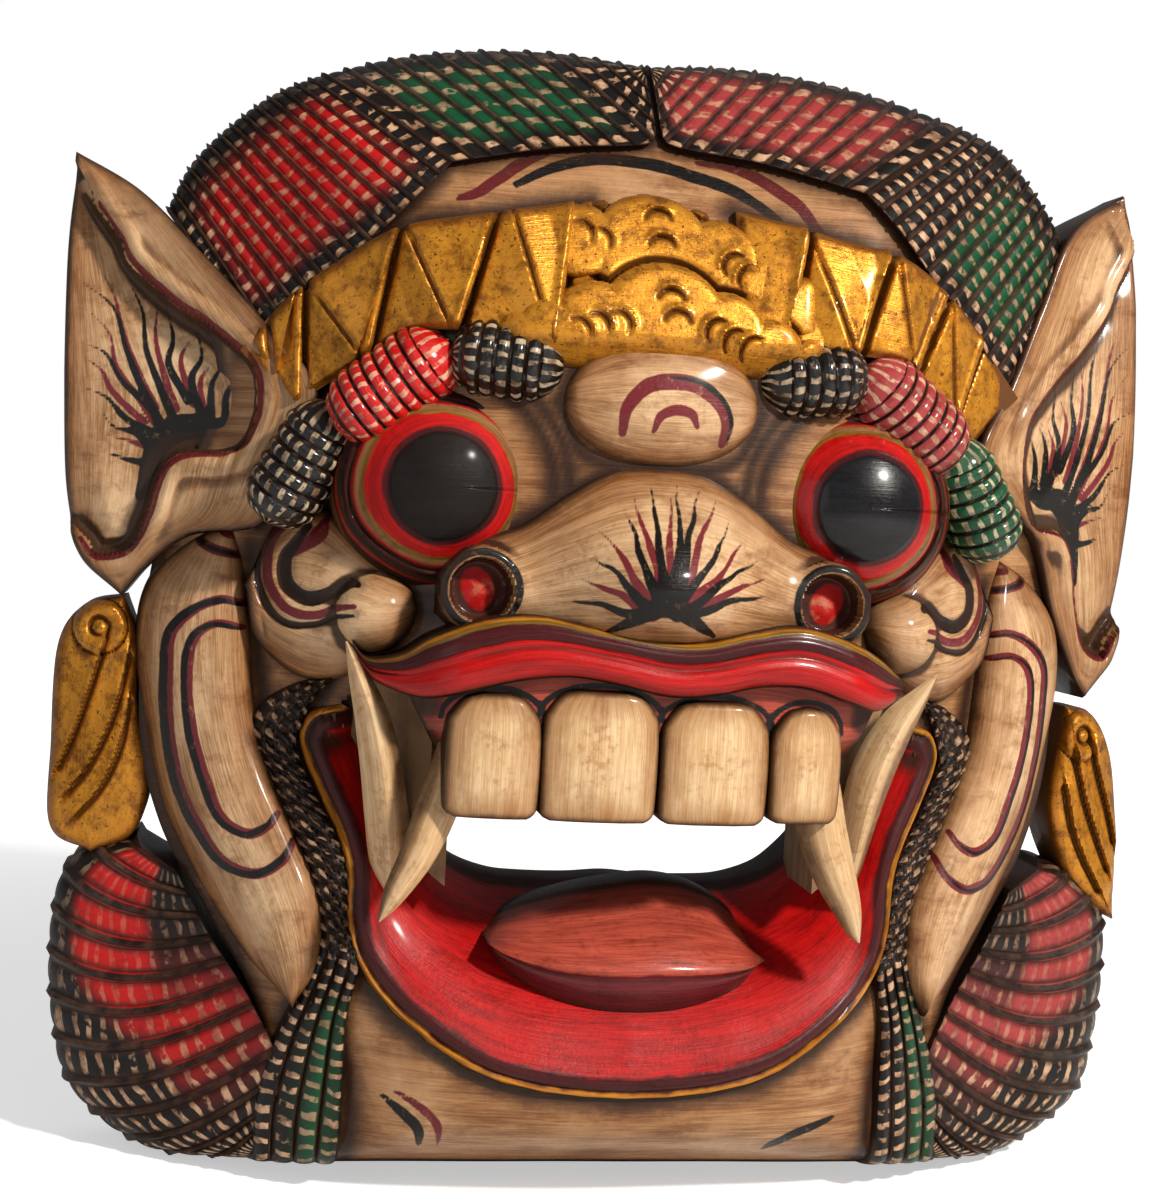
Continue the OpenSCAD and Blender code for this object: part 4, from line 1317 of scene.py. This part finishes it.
def makeJowl(side):
    outer = flipX([(136, 24), (152, 15), (165, 0), (168, -22), (163, -51), (156, -77), (146, -96),
                   (136, -111),
                   (124, -126), (109, -138)], side)
    inner = flipX([(136, 24), (131, 8), (128, -12), (125, -40), (119, -60), (110, -79), (102, -96),
                   (99, -112),
                   (101, -126), (109, -138)], side)

    def depthAt(at):
        swell = 11 * np.sin(at["t"] * math.pi) ** 0.8 * ramp(at["s"], 0, 0.25)
        return headForm(at["x"], at["z"]) + 5 + swell - 9 + pillow(at["rim"], 9, 7)

    name = pieceAt("jowl", side)
    piece, at = carve(name, outer, inner, 240, 84, depthAt)
    lines = {key: flipX(value, side) for key, value in jowlStrokes.items()}
    half = [(x - side * 1.3, z + 0.5) for x, z in lines["outer"]]
    within = [(x - side * 1.2, z + 0.4) for x, z in lines["inner"]]
    dark = (3.2, 2.6) if side < 0 else (1.8, 1.6)
    black = [brush(lines["outer"], dark[0]), brush(lines["inner"], dark[1]), brush(lines["topOuter"], 1.8)]
    red = [brush(half, 4.4), brush(within, 4.0), brush(lines["topOuter"], 3.6), brush(lines["topInner"], 2.6)]
    inkSkin(piece, at, black, red)
    closeBack(piece, 30)
    finishPiece(piece, paint["skin"], (nodeAt("jowl", side),))


def makeSideLock(side):
    outer = flipX([(100, -26), (113, -30), (124, -38), (127, -48), (120, -62), (112, -79), (104, -96),
                   (102, -112),
                   (106, -128), (115, -150), (121, -172), (121, -194)], side)
    inner = flipX([(100, -26), (106, -34), (110, -44), (111, -52), (104, -67), (98, -77), (93, -90),
                   (92, -107),
                   (88, -121), (91, -140), (91, -168), (92, -194)], side)
    count = 4

    def depthAt(at):
        s, t = at["s"], at["t"]
        strand = 2.4 * np.abs(np.sin(t * count * math.pi)) ** 0.7
        cross = np.abs(np.sin((s * 34 + t * 1.5) * math.pi)) * np.abs(np.sin((s * 34 - t * 1.5) * math.pi))
        upper = 1 - ramp(s, 0.55, 0.62)
        edge = pillow(at["rim"], 4, 4)
        return headForm(at["x"], at["z"]) + 4 + strand * (1 - upper) + 2.6 * cross ** 0.6 * upper - 3 + edge

    name = pieceAt("sideLock", side)
    piece, at = carve(name, outer, inner, 240, 48, depthAt, reach=(2, 3))
    setMap(piece, at["t"] * count, at["s"] * 34)
    green = ramp(at["s"], 0.62, 0.7) * bump(at["t"] - (0.7 if side < 0 else 0.3), 0.2)
    setNumbers(piece, patch=green, dash=0.6 + 0.4 * ramp(at["s"], 0.55, 0.62))
    closeBack(piece, 24)
    finishPiece(piece, paint["hairGreen"], (nodeAt("side_lock", side),), 60)


def makeLowerCurl(side):
    wide = 0 if side < 0 else 6
    inner = flipX([(150, -98), (138, -118), (122, -140), (112, -162), (118, -186)], side)
    outer = flipX([(164, -90), (180, -94), (190 + wide, -106), (193 + wide, -128), (191 + wide, -156),
                   (183 + wide, -180), (157, -196), (120, -194)], side)
    count = 12

    def sag(x, z, s, t):
        push = 1.2 * rows((s * count) % 1) * ramp(t, 0.88, 1)
        cx, cz = side * 152, -146
        far = np.hypot(x - cx, z - cz) + 0.001
        drop = 15 * np.sin(t * math.pi) * s * (1 - s) * 2.4
        return x + (x - cx) / far * push + side * drop * 0.25, z + (z - cz) / far * push - drop

    def depthAt(at):
        form = np.maximum(headForm(at["x"], at["z"]), 20)
        return form + 4 + 1.5 * rows((at["s"] * count) % 1) - 10 + pillow((1 - at["t"]) * 50, 10, 12)

    name = pieceAt("lowerCurl", side)
    piece, at = carve(name, inner, outer, count * 12, 56, depthAt, sag, reach=(4, 0))
    setMap(piece, at["s"] * count, at["t"] * 12)
    s, t = at["s"], at["t"]
    patch = ramp(t, 0.3, 0.42) * (1 - ramp(t, 0.8, 0.9)) * (1 - ramp(s + 0.5 * t, 0.68, 0.8))
    patch += bump(s - 0.5, 0.14) * (1 - ramp(t, 0.34, 0.5))
    setNumbers(piece, patch=np.clip(patch, 0, 1), dash=0.35 + 0.65 * ramp(s, 0.3, 0.6))
    closeBack(piece, 6)
    finishPiece(piece, paint["hairRed" if side < 0 else "hairPink"],
                (nodeAt("lower_curl", side),), 60)


earLines = {
    "rim": [(186, 129), (178, 118), (173, 109), (159, 97), (148, 90), (139, 83), (132, 77), (129, 70),
            (129, 59),
            (133, 49), (140, 45)],
    "lobe": [(140, 45), (153, 44), (159, 40), (162, 33), (165, 22), (171, 11), (182, 8), (188, 14)],
    "root": [(168, 30), (165, 42), (161, 50), (154, 54), (146, 54), (138, 56)]}
earEdges = {-1: {"inner": [(195, 147), (172, 134), (150, 113), (129, 91), (110, 68), (118, 40), (127, 22),
                           (150, 17), (164, 6), (173, -5)],
                 "outer": [(195, 147), (197, 114), (196, 62), (194, 28), (188, 8), (173, -5)]},
            1: {"inner": [(188, 161), (160, 143), (146, 113), (134, 85), (121, 60), (132, 44), (150, 30),
                          (160, 5), (172, -18), (180, -28)],
                "outer": [(188, 161), (195, 138), (197, 85), (196, 15), (192, -12), (180, -28)]}}


def toRightEar(points):
    # the right ear is narrower, taller and hangs lower
    return [(122 + (p[0] - 104) * 0.82, -30 + (p[1] + 6) * 1.25) + tuple(p[2:]) for p in points]


earFlames = {
    "black": [[(162, 55), (169, 67), (175, 80), (180, 94), (192, 103)],
              [(161, 51), (166, 60), (176, 69), (182, 78), (192, 82)],
              [(157, 55), (163, 68), (168, 80), (170, 93), (175, 103)],
              [(164, 51), (174, 56), (181, 63), (189, 66)],
              [(153, 63), (160, 75), (159, 84), (162, 95)],
              [(164, 44), (170, 51), (178, 53), (183, 59)],
              [(148, 58), (152, 70), (149, 78), (151, 87)],
              [(166, 41), (173, 42), (180, 44)], [(145, 58), (145, 69), (141, 76)],
              [(140, 56), (140, 65), (137, 72)]],
    "red": [[(164, 60), (171, 73), (176, 85), (180, 98), (185, 107)],
            [(163, 54), (169, 62), (178, 74), (181, 85), (189, 93)],
            [(168, 55), (179, 65), (183, 72), (190, 77)], [(157, 60), (162, 73), (165, 84), (165, 97)],
            [(151, 62), (156, 76), (153, 84)], [(164, 46), (171, 48), (180, 50)],
            [(147, 58), (149, 69), (146, 75)]]}


def tongueStroke(points, wide):
    # a painted flame: wide at its root and thin at its tip
    last = len(points) - 1
    return [(p[0], p[1], wide * (1 - 0.85 * (k / last) ** 1.1)) for k, p in enumerate(points)]


def makeEar(side):
    edges = earEdges[side]

    def place(points):
        return flipX(points if side < 0 else toRightEar(points), side)

    tip = edges["inner"][0]
    lobeLine = place(earLines["lobe"] + [(210, 30)])
    wallLine = [(side * (tip[0] - 4), tip[1] - 10)] + place(earLines["rim"]) + lobeLine[1:]
    deepSpot = np.array(place([(158, 60)])[0])
    inward = np.sign(sideOf(deepSpot[:1], deepSpot[1:2], wallLine))

    def depthAt(at):
        x, z = at["x"], at["z"]
        form = headForm(x, z)
        deep = sideOf(x, z, wallLine) * inward
        bowl = 10 * ramp(deep, -1, 3.5) * np.exp(-np.clip(deep - 4, 0, 99) / 20)
        roll = 2.0 * bump(deep + 3, 2.6)
        thick = 6 + 3 * ramp(np.abs(x), 190, 140)
        return np.maximum(form + thick - bowl + roll - 4 + pillow(at["rim"], 4, 3), 9)

    name = pieceAt("ear", side)
    piece, at = carve(name, flipX(edges["inner"], side), flipX(edges["outer"], side), 150, 90, depthAt)
    black = [tongueStroke(place(points), 3.4) for points in earFlames["black"]]
    red = [tongueStroke(place(points), 3.0) for points in earFlames["red"]]
    black.append([p + (w,) for p, w in zip(place(earLines["root"]), (4, 7, 9, 9, 7, 4))])
    red.append(brush(place(earLines["rim"]), 2.6))
    red.append(brush(place(earLines["lobe"]), 3.0))
    inkSkin(piece, at, black, red)
    closeBack(piece, 4)
    finishPiece(piece, paint["skin"], (nodeAt("ear", side),))


earringEdges = {-1: {"inner": [(172, -5), (167, -20), (166, -42), (161, -70), (166, -88), (180, -95)],
                     "outer": [(172, -5), (186, -9), (195, -24), (196, -60), (195, -88), (180, -95)]},
                1: {"inner": [(172, -31), (171, -45), (168, -70), (177, -94), (190, -107), (201, -113)],
                    "outer": [(172, -31), (186, -34), (196, -50), (200, -75), (201, -95), (201, -113)]}}


featherLines = {-1: [[(170, -26), (174, -45), (181, -62), (189, -74)],
                     [(169, -42), (172, -58), (178, -72), (186, -82)],
                     [(178, -20), (183, -38), (188, -54), (193, -66)]],
                1: [[(177, -48), (181, -62), (187, -76), (195, -92)],
                    [(174, -62), (178, -76), (184, -88), (192, -100)],
                    [(184, -44), (189, -58), (194, -70), (198, -82)]]}


def makeEarring(side):
    edges = earringEdges[side]
    top = edges["inner"][0]

    def depthAt(at):
        x, z = side * at["x"], at["z"]
        base = np.maximum(headForm(x, z), 20) + 2 + 3 * np.sin(at["t"] * math.pi) ** 0.7
        for points in featherLines[side]:
            line = smoothLine(points, 60)
            far, which = nearest(x, z, line)
            d = sideOf(x, z, points)
            close = far < 12
            base += 3.2 * np.exp(-np.clip(d, 0, 99) / 4) * (d > 0) * close - 1.8 * bump(d + 0.8, 0.9) * close
        r = np.hypot(x - top[0] - 8, z - top[1] + 11)
        curl = 3 * np.sqrt(np.clip(1 - ((r - 6.5) / 3) ** 2, 0, 1))
        curl += 2.5 * np.sqrt(np.clip(1 - (r / 2.6) ** 2, 0, 1))
        base = np.where((r < 10) & (z > top[1] - 22), base + curl - 1, base)
        return base - 4 + pillow(at["rim"], 4, 4)

    name = pieceAt("earring", side)
    piece, at = carve(name, flipX(edges["inner"], side), flipX(edges["outer"], side), 130, 56, depthAt)
    closeBack(piece, 12)
    finishPiece(piece, paint["gold"], (nodeAt("earring", side),), 40)


def paintKeptNodes():
    for node, color in (("face_block", "wood"), ("hanger_plate", "steel"), ("hanger_ring", "steel"),
                        ("hanger_screws", "steel")):
        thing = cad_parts[node]
        for slot in thing.material_slots:
            slot.material = paint[color]


addCamera()
addStudio()
makeGroups()
makePaint()
print("camera, studio and paint are ready")
paintKeptNodes()
makeFace()
print("face made")
makeHair()
print("hair made")
for side in (-1, 1):
    makeCrownSide(side)
    makeEye(side)
    makeCheek(side)
    makeJowl(side)
    makeSideLock(side)
    makeLowerCurl(side)
    makeEar(side)
    makeEarring(side)
    for which in browCurls:
        makeBrowCurl(which, side)
    makeHorn(pieceAt("fang", side), nodeAt("fang", side), fangPath[side], side, 1.6)
    makeHorn(pieceAt("tusk", side), nodeAt("tusk", side), tuskPath[side], side, 1.3)
print("sides made")
makeCrownCrest()
makeBoss()
makeNose()
makeUpperLip()
makeGum()
for k in range(4):
    makeTooth(k)
makeLowerJaw()
makeTongue()
print("middle made")
addFloor()
